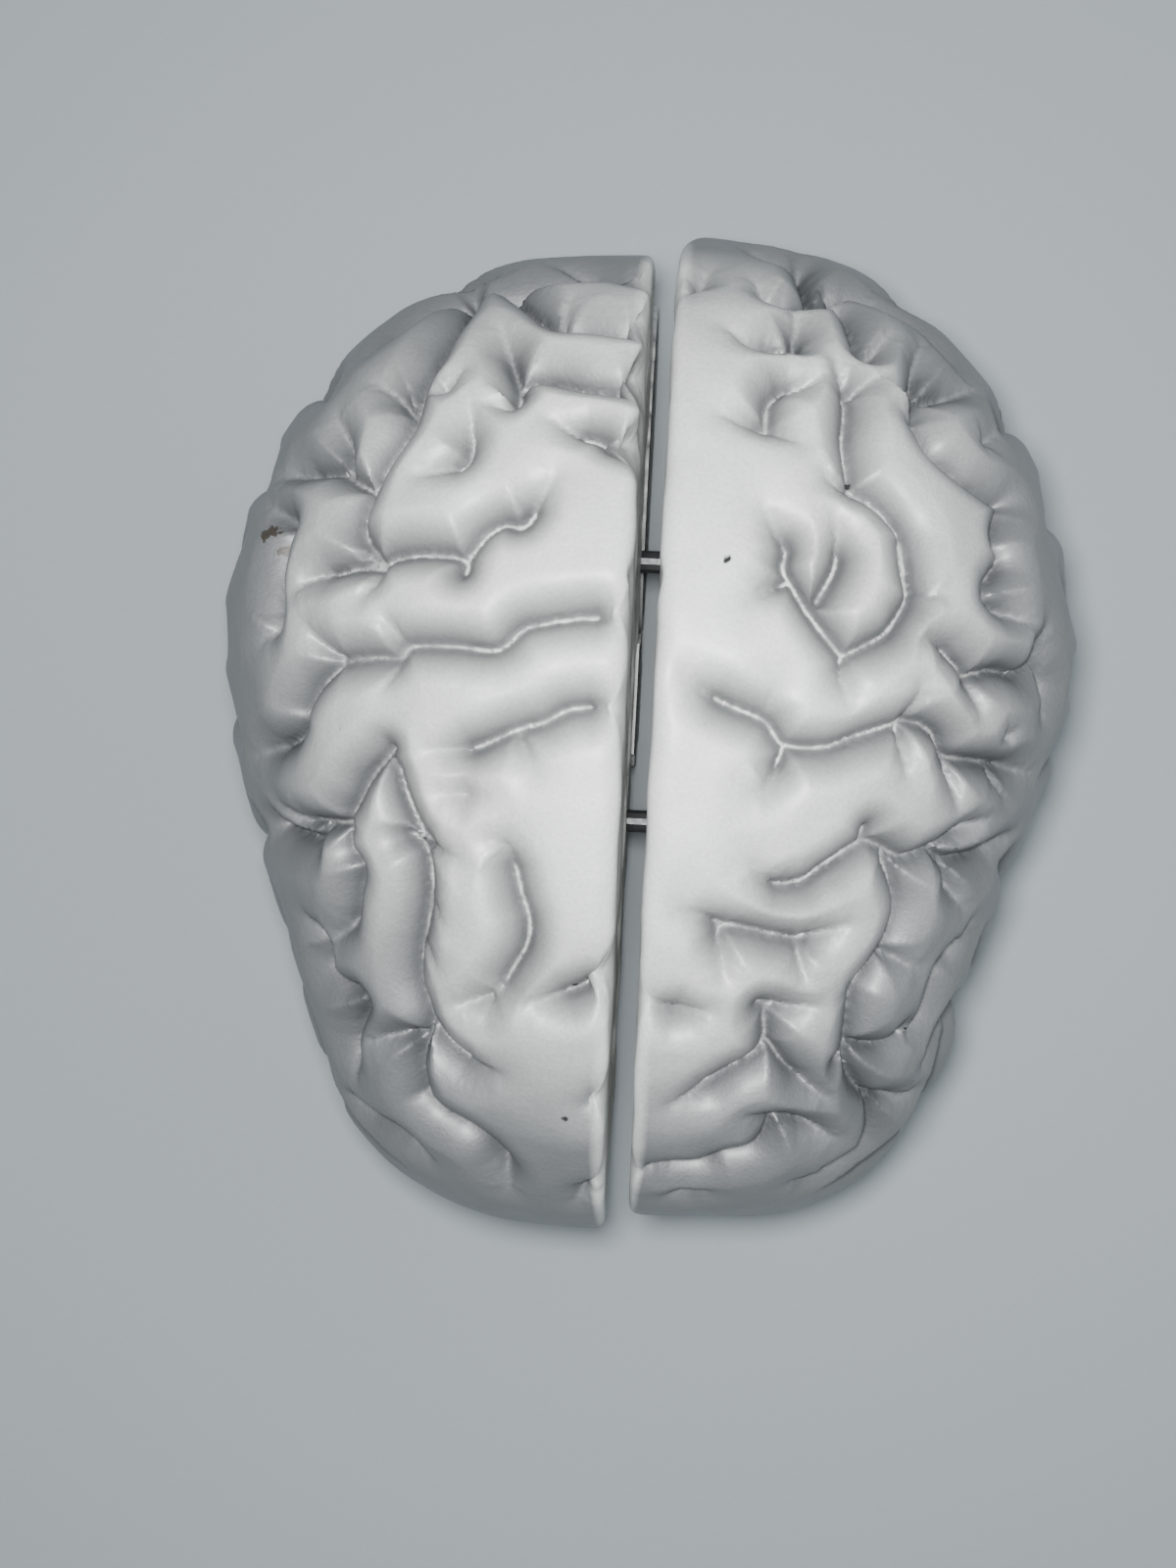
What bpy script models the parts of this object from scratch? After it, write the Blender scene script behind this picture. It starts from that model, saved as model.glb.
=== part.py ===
"""Life-size take-apart brain model: two cast halves that stand side by side.

Metres, +Z up. The halves meet at the plane X = 0, the frontal poles point to -Y and the
occipital poles to +Y. The anatomical right half is at -X and the left half at +X.
Each half is a cerebral hemisphere with half a cerebellum and half a brain stem pegged on.
"""
import math

import bmesh
import bpy
import numpy as np
from mathutils import Vector
from mathutils.bvhtree import BVHTree
from mathutils.kdtree import KDTree

# Overall sizes
BRAIN_LENGTH = 0.172
HALF_WIDTH = 0.0728
BRAIN_HEIGHT = 0.115
HALVES_GAP = 0.0034
CLEARANCE = 0.0003

# Sulci: full depth of a groove, half the width of its floor, and how far from its middle the
# gyrus starts to round over
SULCUS_DEPTH = 0.0060
SULCUS_FLOOR = 0.0004
SULCUS_REACH = 0.0076
SULCUS_END_TAPER = 0.006
SULCUS_JOIN = 0.0025
SULCUS_SPACING = 0.0008
SYLVIAN_DEPTH = 0.0085
SYLVIAN_REACH = 0.0085
MEDIAL_DEPTH = 0.0032
MEDIAL_REACH = 0.0046
VENTRICLE_DEPTH = 0.0030
MEDIAL_EDGE_RADIUS = 0.0030
FRONTAL_CORNER_RADIUS = 0.0030
RIGHT_REAR_CORNER_RADIUS = 0.0025
LEFT_REAR_CORNER_RADIUS = 0.0070

# Temporal lobe, a lobe of oval section that hangs under the side of the hemisphere
TEMPORAL_WIDTH = 0.048
TEMPORAL_HEIGHT = 0.053
TEMPORAL_REST_CUT = 0.0012
TEMPORAL_STEM_ROOM = 0.0014

# Cerebellum
CEREBELLUM_WIDTH = 0.050
CEREBELLUM_LENGTH = 0.060
CEREBELLUM_TOP = 0.0440
CEREBELLUM_REST_CUT = 0.0012
CEREBELLUM_CENTRE_Y = 0.049
CEREBELLUM_FOLIA = 22
FOLIUM_DEPTH = 0.0011
HORIZONTAL_FISSURE_DEPTH = 0.0028

# Brain stem
BRAINSTEM_FOOT = 0.0
BRAINSTEM_SEAT = 0.0430
BRAINSTEM_POCKET_DEPTH = 0.0140
BRAINSTEM_CENTRE_Y = 0.0060
MEDULLA_RADIUS = 0.0085
PONS_RADIUS = 0.0150
MIDBRAIN_RADIUS = 0.0115

# Pins and pegs
LOCATING_PIN_RADIUS = 0.0020
LOCATING_PIN_IN_RIGHT = 0.0080
LOCATING_PIN_IN_LEFT = 0.0065
LOCATING_PIN_FRONT_Y = -0.0155
LOCATING_PIN_REAR_Y = 0.030
LOCATING_PIN_HEIGHT = 0.051
PIN_CHAMFER = 0.0005
PEG_RADIUS = 0.0015
PEG_IN_HEMISPHERE = 0.0080
PEG_IN_PIECE = 0.0070
CEREBELLUM_PEG_ACROSS = 0.036
CEREBELLUM_PEG_HEIGHT = 0.024
BRAINSTEM_PEG_ACROSS = 0.0075

# Fineness of the cast surface
SKIN_GRAIN = 0.0016
HEMISPHERE_TRIANGLES = 4300

# The plan is drawn in marks, as seen from a point above the model
PLAN_CENTRE = (656, 748)
PLAN_LEAN = math.radians(2.95)
PLAN_LENGTH_MARKS = 1013
EYE_HEIGHT = 0.55
EYE_ACROSS = 0.008
OUTLINE_HEIGHT = 0.058

# Side profile over and under the hemisphere: (share of half length, share of height)
TOP_PROFILE = ((-0.99, 0.50), (-0.95, 0.66), (-0.85, 0.79), (-0.65, 0.90), (-0.35, 0.97),
               (0.0, 1.0), (0.25, 0.995), (0.5, 0.945), (0.7, 0.86), (0.85, 0.745),
               (0.95, 0.62), (0.99, 0.50))
UNDER_PROFILE = ((-0.99, 0.50), (-0.93, 0.40), (-0.8, 0.345), (-0.5, 0.32), (-0.2, 0.33),
                 (0.1, 0.355), (0.35, 0.383), (0.6, 0.386), (0.85, 0.395), (0.95, 0.425),
                 (0.99, 0.50))

# Outline seen from above: (share of half width, share of half length)
RIGHT_OUTLINE = ((0.0, -0.98), (0.13, -1.0), (0.26, -0.99), (0.45, -0.94), (0.58, -0.865),
                 (0.68, -0.77), (0.765, -0.585), (0.845, -0.38), (0.925, -0.18), (0.972, -0.015),
                 (0.995, 0.17), (0.972, 0.33), (0.876, 0.56), (0.738, 0.725),
                 (0.596, 0.836), (0.378, 0.935), (0.21, 0.962), (0.0, 0.95))
LEFT_OUTLINE = ((0.0, -0.95), (0.28, -0.967), (0.50, -0.909), (0.645, -0.80), (0.748, -0.648),
                (0.806, -0.463), (0.862, -0.30), (0.932, -0.12), (0.985, 0.03),
                (1.008, 0.178), (0.972, 0.344), (0.888, 0.56), (0.77, 0.72),
                (0.60, 0.865), (0.418, 0.96), (0.20, 1.0), (0.0, 0.98))

# Sulci on the upper side of each half, in plan marks
RIGHT_SULCI = (
    ((574, 266), (604, 269), (631, 273), (664, 283)),
    ((522, 283), (548, 302), (571, 318), (602, 320), (664, 329)),
    ((571, 318), (579, 299)),
    ((509, 328), (519, 353), (525, 379), (519, 401), (493, 404)),
    ((525, 379), (544, 371), (567, 372), (599, 379), (661, 388)),
    ((560, 420), (583, 428), (611, 434), (627, 446), (656, 455)),
    ((477, 407), (474, 430), (468, 457), (446, 468), (423, 479)),
    ((564, 481), (548, 500), (530, 525), (509, 524), (490, 533), (477, 548), (466, 564)),
    ((465, 576), (466, 564), (449, 557), (420, 556), (391, 560), (374, 567), (359, 560)),
    ((374, 567), (356, 538), (355, 519), (369, 484), (385, 455), (407, 423), (420, 381),
     (436, 355), (449, 332), (468, 307), (477, 288)),
    ((375, 571), (353, 570), (328, 575), (308, 584), (294, 597)),
    ((377, 575), (372, 591), (363, 603)),
    ((366, 489), (340, 474), (328, 468), (302, 471), (280, 481)),
    ((340, 470), (340, 449), (337, 420)),
    ((410, 404), (395, 388), (379, 383)),
    ((465, 372), (452, 382), (430, 395)),
    ((643, 624), (595, 625), (551, 631), (528, 638), (501, 660), (455, 657), (404, 657),
     (394, 670), (366, 670), (337, 674), (324, 681), (305, 700), (292, 725), (292, 738),
     (280, 757), (253, 773)),
    ((388, 630), (401, 655)),
    ((402, 665), (388, 697)),
    ((305, 642), (321, 665), (334, 674)),
    ((503, 658), (504, 678)),
    ((637, 722), (583, 724), (551, 738), (522, 746), (497, 757), (468, 767), (436, 767)),
    ((525, 754), (541, 786)),
    ((449, 811), (487, 813)),
    ((388, 749), (388, 773), (395, 805), (407, 837), (420, 859), (436, 872), (458, 878)),
    ((385, 767), (359, 796), (347, 818), (337, 834), (337, 847), (312, 848), (305, 862)),
    ((277, 827), (292, 843), (321, 847), (337, 845)),
    ((264, 834), (280, 856), (305, 864)),
    ((337, 856), (340, 875), (351, 890), (347, 911), (342, 946), (328, 965)),
    ((404, 856), (420, 875), (423, 920), (417, 958), (412, 977), (412, 1009), (423, 1045),
     (420, 1067), (412, 1092), (420, 1129)),
    ((426, 920), (442, 942)),
    ((420, 968), (436, 987)),
    ((414, 1067), (372, 1067)),
    ((423, 1045), (436, 1067), (455, 1086), (477, 1099), (503, 1102)),
    ((420, 1129), (442, 1150), (471, 1166), (493, 1182), (509, 1201), (516, 1220)),
    ((497, 860), (512, 869), (525, 923), (532, 946), (528, 978), (500, 1022), (492, 1041)),
    ((465, 1029), (492, 1025)),
    ((538, 1029), (579, 1022), (615, 1006), (627, 990)),
    ((599, 1134), (618, 1124)),
    ((589, 1233), (612, 1212)),
    ((304, 941), (318, 968), (321, 993), (337, 1016), (356, 1027), (345, 1057), (353, 1102)),
    ((347, 1124), (372, 1150), (407, 1172), (430, 1188)),
    ((270, 847), (281, 857), (304, 866)),
    ((267, 513), (282, 529), (276, 548), (268, 587), (268, 637), (259, 652)),
)
LEFT_SULCI = (
    ((702, 291), (723, 270)),
    ((765, 251), (810, 263), (824, 270)),
    ((772, 282), (786, 293), (810, 298), (833, 297), (860, 303), (873, 316), (881, 334),
     (887, 352)),
    ((887, 352), (909, 338)),
    ((832, 296), (829, 283), (820, 263)),
    ((835, 298), (846, 291), (863, 289), (881, 295), (909, 305)),
    ((747, 330), (768, 337), (796, 340), (831, 339)),
    ((814, 341), (817, 319), (810, 309)),
    ((800, 382), (821, 382), (842, 377)),
    ((740, 419), (765, 421), (786, 424), (803, 435), (817, 446)),
    ((786, 424), (788, 396), (796, 386)),
    ((856, 363), (870, 389), (872, 407), (870, 439), (874, 467), (877, 491)),
    ((870, 389), (884, 382), (902, 377)),
    ((846, 477), (853, 486), (877, 493)),
    ((877, 491), (898, 502), (916, 519), (930, 537), (937, 565), (942, 600)),
    ((944, 424), (961, 453), (986, 474), (1007, 491), (1035, 509)),
    ((926, 414), (944, 424), (942, 396), (945, 368), (943, 348)),
    ((951, 396), (972, 391), (996, 395)),
    ((1018, 441), (1009, 449)),
    ((1031, 511), (1034, 522), (1028, 548), (1036, 573), (1020, 605), (1060, 635)),
    ((782, 516), (796, 537), (807, 554), (805, 575), (821, 603), (842, 634), (868, 669)),
    ((807, 589), (786, 599), (768, 610)),
    ((868, 669), (891, 659), (916, 645), (930, 624), (940, 606), (935, 578), (931, 550)),
    ((868, 669), (865, 690), (868, 715)),
    ((940, 606), (961, 604)),
    ((854, 523), (861, 547), (861, 572), (842, 610)),
    ((947, 652), (965, 653), (989, 673), (1000, 690), (1007, 729)),
    ((1000, 694), (1021, 689), (1038, 687), (1059, 691), (1071, 665), (1074, 640)),
    ((1071, 665), (1077, 703), (1071, 735)),
    ((700, 690), (733, 715), (782, 736), (796, 753), (807, 764), (846, 767), (881, 757),
     (916, 746), (933, 739), (944, 718), (945, 704)),
    ((782, 736), (791, 708)),
    ((807, 764), (800, 781), (786, 806), (772, 811)),
    ((933, 739), (954, 743), (972, 757), (982, 778), (1017, 785), (1056, 792)),
    ((982, 778), (984, 824)),
    ((930, 746), (931, 789)),
    ((1026, 796), (1031, 813)),
    ((1031, 760), (1042, 750)),
    ((772, 887), (782, 901), (803, 910), (828, 906), (846, 895), (860, 887), (891, 867),
     (909, 869), (937, 883), (965, 874), (986, 859), (1014, 839)),
    ((891, 867), (895, 852)),
    ((968, 874), (982, 885), (1003, 883), (1021, 873), (1038, 855)),
    ((917, 882), (930, 920), (923, 955), (909, 983), (888, 1011), (884, 1022), (877, 1074),
     (867, 1092)),
    ((867, 1022), (888, 1018)),
    ((877, 1074), (898, 1078), (916, 1076), (933, 1060)),
    ((877, 1074), (881, 1103), (891, 1124), (902, 1131), (926, 1129), (938, 1118)),
    ((902, 1131), (903, 1148), (891, 1173), (863, 1194), (835, 1210), (814, 1213)),
    ((698, 934), (719, 941), (740, 952), (768, 957), (817, 967), (835, 964), (867, 948)),
    ((737, 955), (740, 997)),
    ((821, 969), (824, 1001)),
    ((658, 1025), (670, 1032), (698, 1039), (723, 1036)),
    ((782, 1036), (807, 1036), (835, 1031)),
    ((789, 1036), (789, 1074), (775, 1092), (747, 1108), (719, 1124), (688, 1134)),
    ((789, 1074), (807, 1096), (824, 1113), (846, 1125)),
    ((768, 1148), (796, 1155), (817, 1160), (854, 1167)),
    ((796, 1157), (789, 1173), (772, 1187), (740, 1195), (712, 1204), (649, 1204)),
    ((716, 1225), (684, 1229)),
    ((981, 889), (982, 906), (989, 927)),
    ((996, 945), (986, 969), (968, 994), (952, 1041), (932, 1074)),
    ((981, 1031), (973, 1040), (955, 1077), (950, 1086)),
    ((916, 980), (940, 990)),
)

# Sulci on the side, seen along X: (share of half length, share of height)
SYLVIAN_FISSURE = ((-0.56, 0.25), (-0.50, 0.36), (-0.38, 0.43), (-0.15, 0.47), (0.08, 0.52),
                   (0.26, 0.59), (0.34, 0.66))
SIDE_SULCI = (
    ((-0.46, 0.20), (-0.34, 0.23), (-0.20, 0.31), (0.04, 0.34), (0.26, 0.42), (0.42, 0.50),
     (0.48, 0.60), (0.44, 0.68)),
    ((-0.36, 0.08), (-0.20, 0.14), (-0.02, 0.13), (0.14, 0.20), (0.34, 0.27), (0.50, 0.40)),
    ((-0.40, 0.33), (-0.34, 0.23)),
    ((-0.12, 0.31), (-0.06, 0.40)),
    ((0.16, 0.38), (0.20, 0.47)),
    ((0.00, 0.14), (0.06, 0.24), (0.02, 0.28)),
    ((0.26, 0.42), (0.34, 0.35), (0.34, 0.27)),
    ((-0.88, 0.62), (-0.74, 0.58), (-0.60, 0.62), (-0.46, 0.60), (-0.36, 0.64)),
    ((-0.42, 0.43), (-0.50, 0.52), (-0.46, 0.60)),
    ((-0.30, 0.46), (-0.28, 0.56), (-0.22, 0.62), (-0.22, 0.70)),
    ((-0.80, 0.37), (-0.70, 0.44), (-0.74, 0.58)),
    ((-0.70, 0.44), (-0.58, 0.47)),
    ((-0.14, 0.48), (-0.12, 0.60)),
    ((0.00, 0.51), (0.03, 0.60), (-0.04, 0.68)),
    ((0.16, 0.55), (0.14, 0.66)),
    ((0.50, 0.40), (0.60, 0.47), (0.58, 0.56), (0.66, 0.62), (0.62, 0.70)),
    ((0.58, 0.56), (0.70, 0.54), (0.84, 0.52), (0.94, 0.50)),
    ((0.66, 0.43), (0.78, 0.45), (0.88, 0.44)),
    ((0.72, 0.68), (0.82, 0.64), (0.90, 0.66)),
    ((0.84, 0.52), (0.90, 0.60)),
)

# Sulci on the under side, seen along Z: (share of half width, share of half length)
UNDER_SULCI = (
    ((0.13, -0.86), (0.14, -0.66), (0.15, -0.46)),
    ((0.36, -0.82), (0.33, -0.68), (0.36, -0.54)),
    ((0.22, -0.69), (0.33, -0.68), (0.52, -0.66)),
    ((0.36, -0.40), (0.40, -0.22), (0.36, -0.02), (0.40, 0.16), (0.48, 0.30)),
    ((0.62, -0.36), (0.58, -0.14), (0.62, 0.06), (0.60, 0.24)),
    ((0.40, -0.22), (0.49, -0.18)),
    ((0.62, 0.06), (0.72, 0.12)),
    ((0.18, 0.82), (0.40, 0.76), (0.55, 0.64)),
)

# Sulci on the two poles, seen along Y: (share of half width, share of height)
FRONTAL_POLE_SULCI = (
    ((0.12, 0.46), (0.28, 0.49), (0.46, 0.45), (0.60, 0.48)),
    ((0.28, 0.49), (0.30, 0.40)),
    ((0.46, 0.45), (0.50, 0.38)),
)
OCCIPITAL_POLE_SULCI = (
    ((0.12, 0.50), (0.28, 0.53), (0.44, 0.49)),
    ((0.28, 0.53), (0.26, 0.44)),
    ((0.40, 0.43), (0.54, 0.45)),
)

# Sulci on the medial face, seen along X: (share of half length, share of height)
MEDIAL_SULCI = (
    ((-0.44, 0.47), (-0.60, 0.56), (-0.60, 0.68), (-0.46, 0.79), (-0.20, 0.85), (0.08, 0.85),
     (0.22, 0.88), (0.28, 0.96)),
    ((-0.34, 0.55), (-0.42, 0.62), (-0.33, 0.70), (-0.10, 0.74), (0.12, 0.73), (0.26, 0.66),
     (0.28, 0.57)),
    ((0.40, 0.55), (0.50, 0.70), (0.60, 0.86)),
    ((0.36, 0.50), (0.58, 0.49), (0.86, 0.53)),
    ((-0.90, 0.56), (-0.78, 0.62), (-0.72, 0.74)),
    ((0.22, 0.80), (0.36, 0.76), (0.44, 0.80)),
    ((0.66, 0.66), (0.80, 0.64)),
)
VENTRICLE_CENTRE = (-0.04, 0.615)
VENTRICLE_RADII = (0.26, 0.062)
THALAMUS_CENTRE = (0.04, 0.50)
THALAMUS_RADII = (0.17, 0.055)

HALF_LENGTH = BRAIN_LENGTH / 2
FACE_X = HALVES_GAP / 2


def remove_everything():
    for old in list(bpy.data.objects):
        bpy.data.objects.remove(old, do_unlink=True)


def make_material(name, colour, roughness, metallic=0.0):
    material = bpy.data.materials.new(name)
    material.use_nodes = True
    shader = material.node_tree.nodes["Principled BSDF"]
    shader.inputs["Base Color"].default_value = (*colour, 1.0)
    shader.inputs["Roughness"].default_value = roughness
    shader.inputs["Metallic"].default_value = metallic
    material.diffuse_color = (*colour, 1.0)
    return material


def add_object(name, points, faces, material=None):
    """An object from corner points in world space and faces that list their corners."""
    mesh = bpy.data.meshes.new(name)
    mesh.from_pydata([tuple(point) for point in points], [], [tuple(face) for face in faces])
    mesh.validate()
    shape = bmesh.new()
    shape.from_mesh(mesh)
    bmesh.ops.recalc_face_normals(shape, faces=shape.faces)
    shape.to_mesh(mesh)
    shape.free()
    piece = bpy.data.objects.new(name, mesh)
    bpy.context.scene.collection.objects.link(piece)
    if material:
        mesh.materials.append(material)
    return piece


def smooth_curve(marks, steps=12):
    """Points on a Catmull-Rom curve through the marks."""
    marks = np.asarray(marks, float)
    padded = np.vstack((2 * marks[0] - marks[1], marks, 2 * marks[-1] - marks[-2]))
    curve = []
    for before, start, end, after in zip(padded, padded[1:], padded[2:], padded[3:]):
        for step in range(steps):
            t = step / steps
            curve.append(0.5 * (2 * start + (end - before) * t
                                + (2 * before - 5 * start + 4 * end - after) * t ** 2
                                + (3 * start - before - 3 * end + after) * t ** 3))
    curve.append(marks[-1])
    return np.array(curve)


def tube(rings):
    """A closed skin over rings of equally many points, with a flat cap at each end."""
    count = len(rings[0])
    points = [point for ring in rings for point in ring]
    faces = [tuple(range(count)), tuple(range(len(points) - count, len(points)))]
    for low in range(0, len(points) - count, count):
        for step in range(count):
            after = (step + 1) % count
            faces.append((low + step, low + after, low + count + after, low + count + step))
    return points, faces


def hemisphere_sections(outline, rear_corner):
    """Rings of the smooth hemisphere, front to back, in (across, along, up)."""
    plan = smooth_curve(outline) * (HALF_WIDTH, HALF_LENGTH)
    over = smooth_curve(TOP_PROFILE) * (HALF_LENGTH, BRAIN_HEIGHT)
    under = smooth_curve(UNDER_PROFILE) * (HALF_LENGTH, BRAIN_HEIGHT)
    stations = 44
    corners = 22
    arc_steps = 4
    pole_stop = 0.999
    widest_share = 0.29
    roundness = 2.25
    front, back = plan[0, 1], plan[-1, 1]
    lowest, highest = plan[:, 1].min(), plan[:, 1].max()
    rings = []
    for station in range(stations + 1):
        turn = -math.pi / 2 + math.pi * station / stations
        share = math.sin(turn) * pole_stop
        along = share * (highest - lowest) / 2 + (highest + lowest) / 2
        order = np.argsort(plan[:, 1])
        width = float(np.interp(along, plan[order, 1], plan[order, 0]))
        if along < front or along > back:
            blunt = 1 - abs(share) ** 6
            width = min(width, HALF_WIDTH * blunt)
        corner_radius = rear_corner if share > 0 else FRONTAL_CORNER_RADIUS
        left = min((1 - abs(share)) * (highest - lowest) / 2, corner_radius)
        inner = FACE_X + corner_radius - math.sqrt(
            corner_radius ** 2 - (corner_radius - left) ** 2)
        width = max(width, inner + 1.5 * FACE_X)
        level = share * over[-1, 0]
        top = float(np.interp(level, over[:, 0], over[:, 1]))
        bottom = float(np.interp(level, under[:, 0], under[:, 1]))
        middle = bottom + widest_share * (top - bottom)
        edge = min(MEDIAL_EDGE_RADIUS, 0.17 * (width - inner), 0.2 * (top - bottom))
        arc = [(edge * (1 - math.cos(turn)), edge * (1 - math.sin(turn)))
               for turn in (math.pi / 2 * step / arc_steps for step in range(arc_steps + 1))]
        ring = [(inner + away, along, top - drop) for away, drop in arc]
        for corner in range(1, corners):
            angle = math.pi * corner / corners
            reach = math.sin(angle) ** (2 / roundness)
            lift = abs(math.cos(angle)) ** (2 / roundness)
            rise = (top - middle) * lift if angle < math.pi / 2 else (bottom - middle) * lift
            ring.append((inner + (width - inner) * reach, along, middle + rise))
        ring += [(inner + away, along, bottom + drop) for away, drop in reversed(arc)]
        rings.append(ring)
    return rings


def temporal_sections():
    """Rings of the temporal lobe, from its pole backwards, in (across, along, up)."""
    lobe = (
        (-0.575, 0.47, 0.62, 0.18), (-0.555, 0.475, 0.60, 0.52), (-0.50, 0.49, 0.57, 0.78),
        (-0.38, 0.535, 0.51, 0.93), (-0.15, 0.585, 0.475, 1.0), (0.08, 0.615, 0.48, 1.02),
        (0.26, 0.60, 0.56, 0.98), (0.42, 0.56, 0.72, 0.88), (0.58, 0.49, 0.90, 0.72),
        (0.70, 0.42, 1.06, 0.50),
    )
    corners = 28
    rings = []
    for share, across, level, size in smooth_curve(lobe, 4):
        clear_of_stem = PONS_RADIUS + TEMPORAL_STEM_ROOM + size * TEMPORAL_WIDTH / 2
        centre = (max(across * HALF_WIDTH, clear_of_stem), share * HALF_LENGTH,
                  level * TEMPORAL_HEIGHT - TEMPORAL_REST_CUT)
        ring = []
        for corner in range(corners):
            angle = 2 * math.pi * corner / corners
            ring.append((centre[0] + size * TEMPORAL_WIDTH / 2 * math.cos(angle), centre[1],
                         centre[2] + size * TEMPORAL_HEIGHT / 2 * math.sin(angle)))
        rings.append(ring)
    return rings


def fused_skin(shells, grain):
    """One even skin of small quads over several closed shells that run into each other."""
    points, faces = [], []
    for shell_points, shell_faces in shells:
        start = len(points)
        points += list(shell_points)
        faces += [tuple(start + corner for corner in face) for face in shell_faces]
    rough = add_object("rough", points, faces)
    skin = rough.modifiers.new("Skin", "REMESH")
    skin.mode = "VOXEL"
    skin.voxel_size = grain
    evaluated = rough.evaluated_get(bpy.context.evaluated_depsgraph_get())
    mesh = evaluated.to_mesh()
    points = np.empty(len(mesh.vertices) * 3)
    mesh.vertices.foreach_get("co", points)
    faces = [tuple(face.vertices) for face in mesh.polygons]
    evaluated.to_mesh_clear()
    bpy.data.objects.remove(rough, do_unlink=True)
    return points.reshape(-1, 3), faces


def relax(points, faces, rounds):
    """Evens out a skin by moving each point to the middle of its neighbours."""
    quads = np.array(faces)
    edges = np.vstack((quads[:, [0, 1]], quads[:, [1, 2]], quads[:, [2, 3]], quads[:, [3, 0]]))
    degree = np.bincount(edges.ravel(), minlength=len(points))[:, None]
    for _ in range(rounds):
        total = np.zeros_like(points)
        np.add.at(total, edges[:, 0], points[edges[:, 1]])
        np.add.at(total, edges[:, 1], points[edges[:, 0]])
        points = 0.4 * points + 0.6 * total / degree
        points[:, 0] = np.maximum(points[:, 0], FACE_X)
    return points


def plan_mark_place(mark, side):
    """Place of a plan mark at the height of the outline, in (across, along, up)."""
    unit = BRAIN_LENGTH / PLAN_LENGTH_MARKS
    right, up = mark[0] - PLAN_CENTRE[0], PLAN_CENTRE[1] - mark[1]
    across = right * math.cos(PLAN_LEAN) - up * math.sin(PLAN_LEAN)
    along = right * math.sin(PLAN_LEAN) + up * math.cos(PLAN_LEAN)
    return Vector((side * across * unit, along * unit, OUTLINE_HEIGHT))


def cast(skin, start, target):
    """Where the line from start through target first meets the skin, or the nearest point."""
    hit = skin.ray_cast(start, (target - start).normalized())[0]
    return hit if hit else skin.find_nearest(target)[0]


def groove_routes(skin, side):
    """Every groove as points on the skin, with its depth and its reach."""
    far = EYE_HEIGHT
    eye = Vector((side * EYE_ACROSS, 0.0, EYE_HEIGHT))
    routes = []
    for marks in RIGHT_SULCI if side < 0 else LEFT_SULCI:
        line = [cast(skin, eye, plan_mark_place(mark, side)) for mark in smooth_curve(marks, 4)]
        routes.append((line, SULCUS_DEPTH, SULCUS_REACH))
    for marks in (SYLVIAN_FISSURE,) + SIDE_SULCI:
        line = []
        for along, level in smooth_curve(marks, 6):
            target = Vector((0.0, along * HALF_LENGTH, level * BRAIN_HEIGHT))
            line.append(cast(skin, target + Vector((far, 0.0, 0.0)), target))
        if marks is SYLVIAN_FISSURE:
            routes.append((line, SYLVIAN_DEPTH, SYLVIAN_REACH))
        else:
            routes.append((line, SULCUS_DEPTH, SULCUS_REACH))
    for marks in UNDER_SULCI:
        line = []
        for across, along in smooth_curve(marks, 6):
            target = Vector((across * HALF_WIDTH, along * HALF_LENGTH, BRAIN_HEIGHT))
            line.append(cast(skin, target - Vector((0.0, 0.0, far)), target))
        routes.append((line, SULCUS_DEPTH, SULCUS_REACH))
    for way, pole_sulci in ((-1.0, FRONTAL_POLE_SULCI), (1.0, OCCIPITAL_POLE_SULCI)):
        for marks in pole_sulci:
            line = []
            for across, level in smooth_curve(marks, 6):
                target = Vector((across * HALF_WIDTH, 0.0, level * BRAIN_HEIGHT))
                line.append(cast(skin, target + Vector((0.0, way * far, 0.0)), target))
            routes.append((line, SULCUS_DEPTH, SULCUS_REACH))
    for marks in MEDIAL_SULCI:
        line = []
        for along, level in smooth_curve(marks, 6):
            target = Vector((FACE_X, along * HALF_LENGTH, level * BRAIN_HEIGHT))
            line.append(cast(skin, target - Vector((far, 0.0, 0.0)), target))
        routes.append((line, MEDIAL_DEPTH, MEDIAL_REACH))
    return routes


def spaced(line, spacing):
    """A line of points redrawn with even spacing, with each point's way from the ends."""
    line = np.array([tuple(point) for point in line])
    steps = np.linalg.norm(np.diff(line, axis=0), axis=1)
    way = np.concatenate(([0.0], np.cumsum(steps)))
    count = max(2, int(way[-1] / spacing) + 1)
    places = np.linspace(0.0, way[-1], count)
    points = np.column_stack([np.interp(places, way, line[:, axis]) for axis in range(3)])
    return points, places, way[-1] - places


def groove_lines(routes):
    """Each groove as evenly spaced points, with the depth at each point and its reach."""
    lines = [spaced(line, SULCUS_SPACING) for line, _, _ in routes]
    everything = np.vstack([points for points, _, _ in lines])
    owner = np.concatenate([[index] * len(points) for index, (points, _, _) in enumerate(lines)])
    tree = KDTree(len(everything))
    for index, point in enumerate(everything):
        tree.insert(point, index)
    tree.balance()
    grooves = []
    for index, (points, from_start, from_end) in enumerate(lines):
        depth = np.full(len(points), routes[index][1])
        for end, way in ((points[0], from_start), (points[-1], from_end)):
            near = tree.find_range(end, SULCUS_JOIN)
            if all(owner[hit[1]] == index for hit in near):
                taper = 0.3 + 0.7 * np.clip(way / SULCUS_END_TAPER, 0, 1)
                depth = np.minimum(depth, routes[index][1] * taper)
        grooves.append((points, depth, routes[index][2]))
    return grooves


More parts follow.
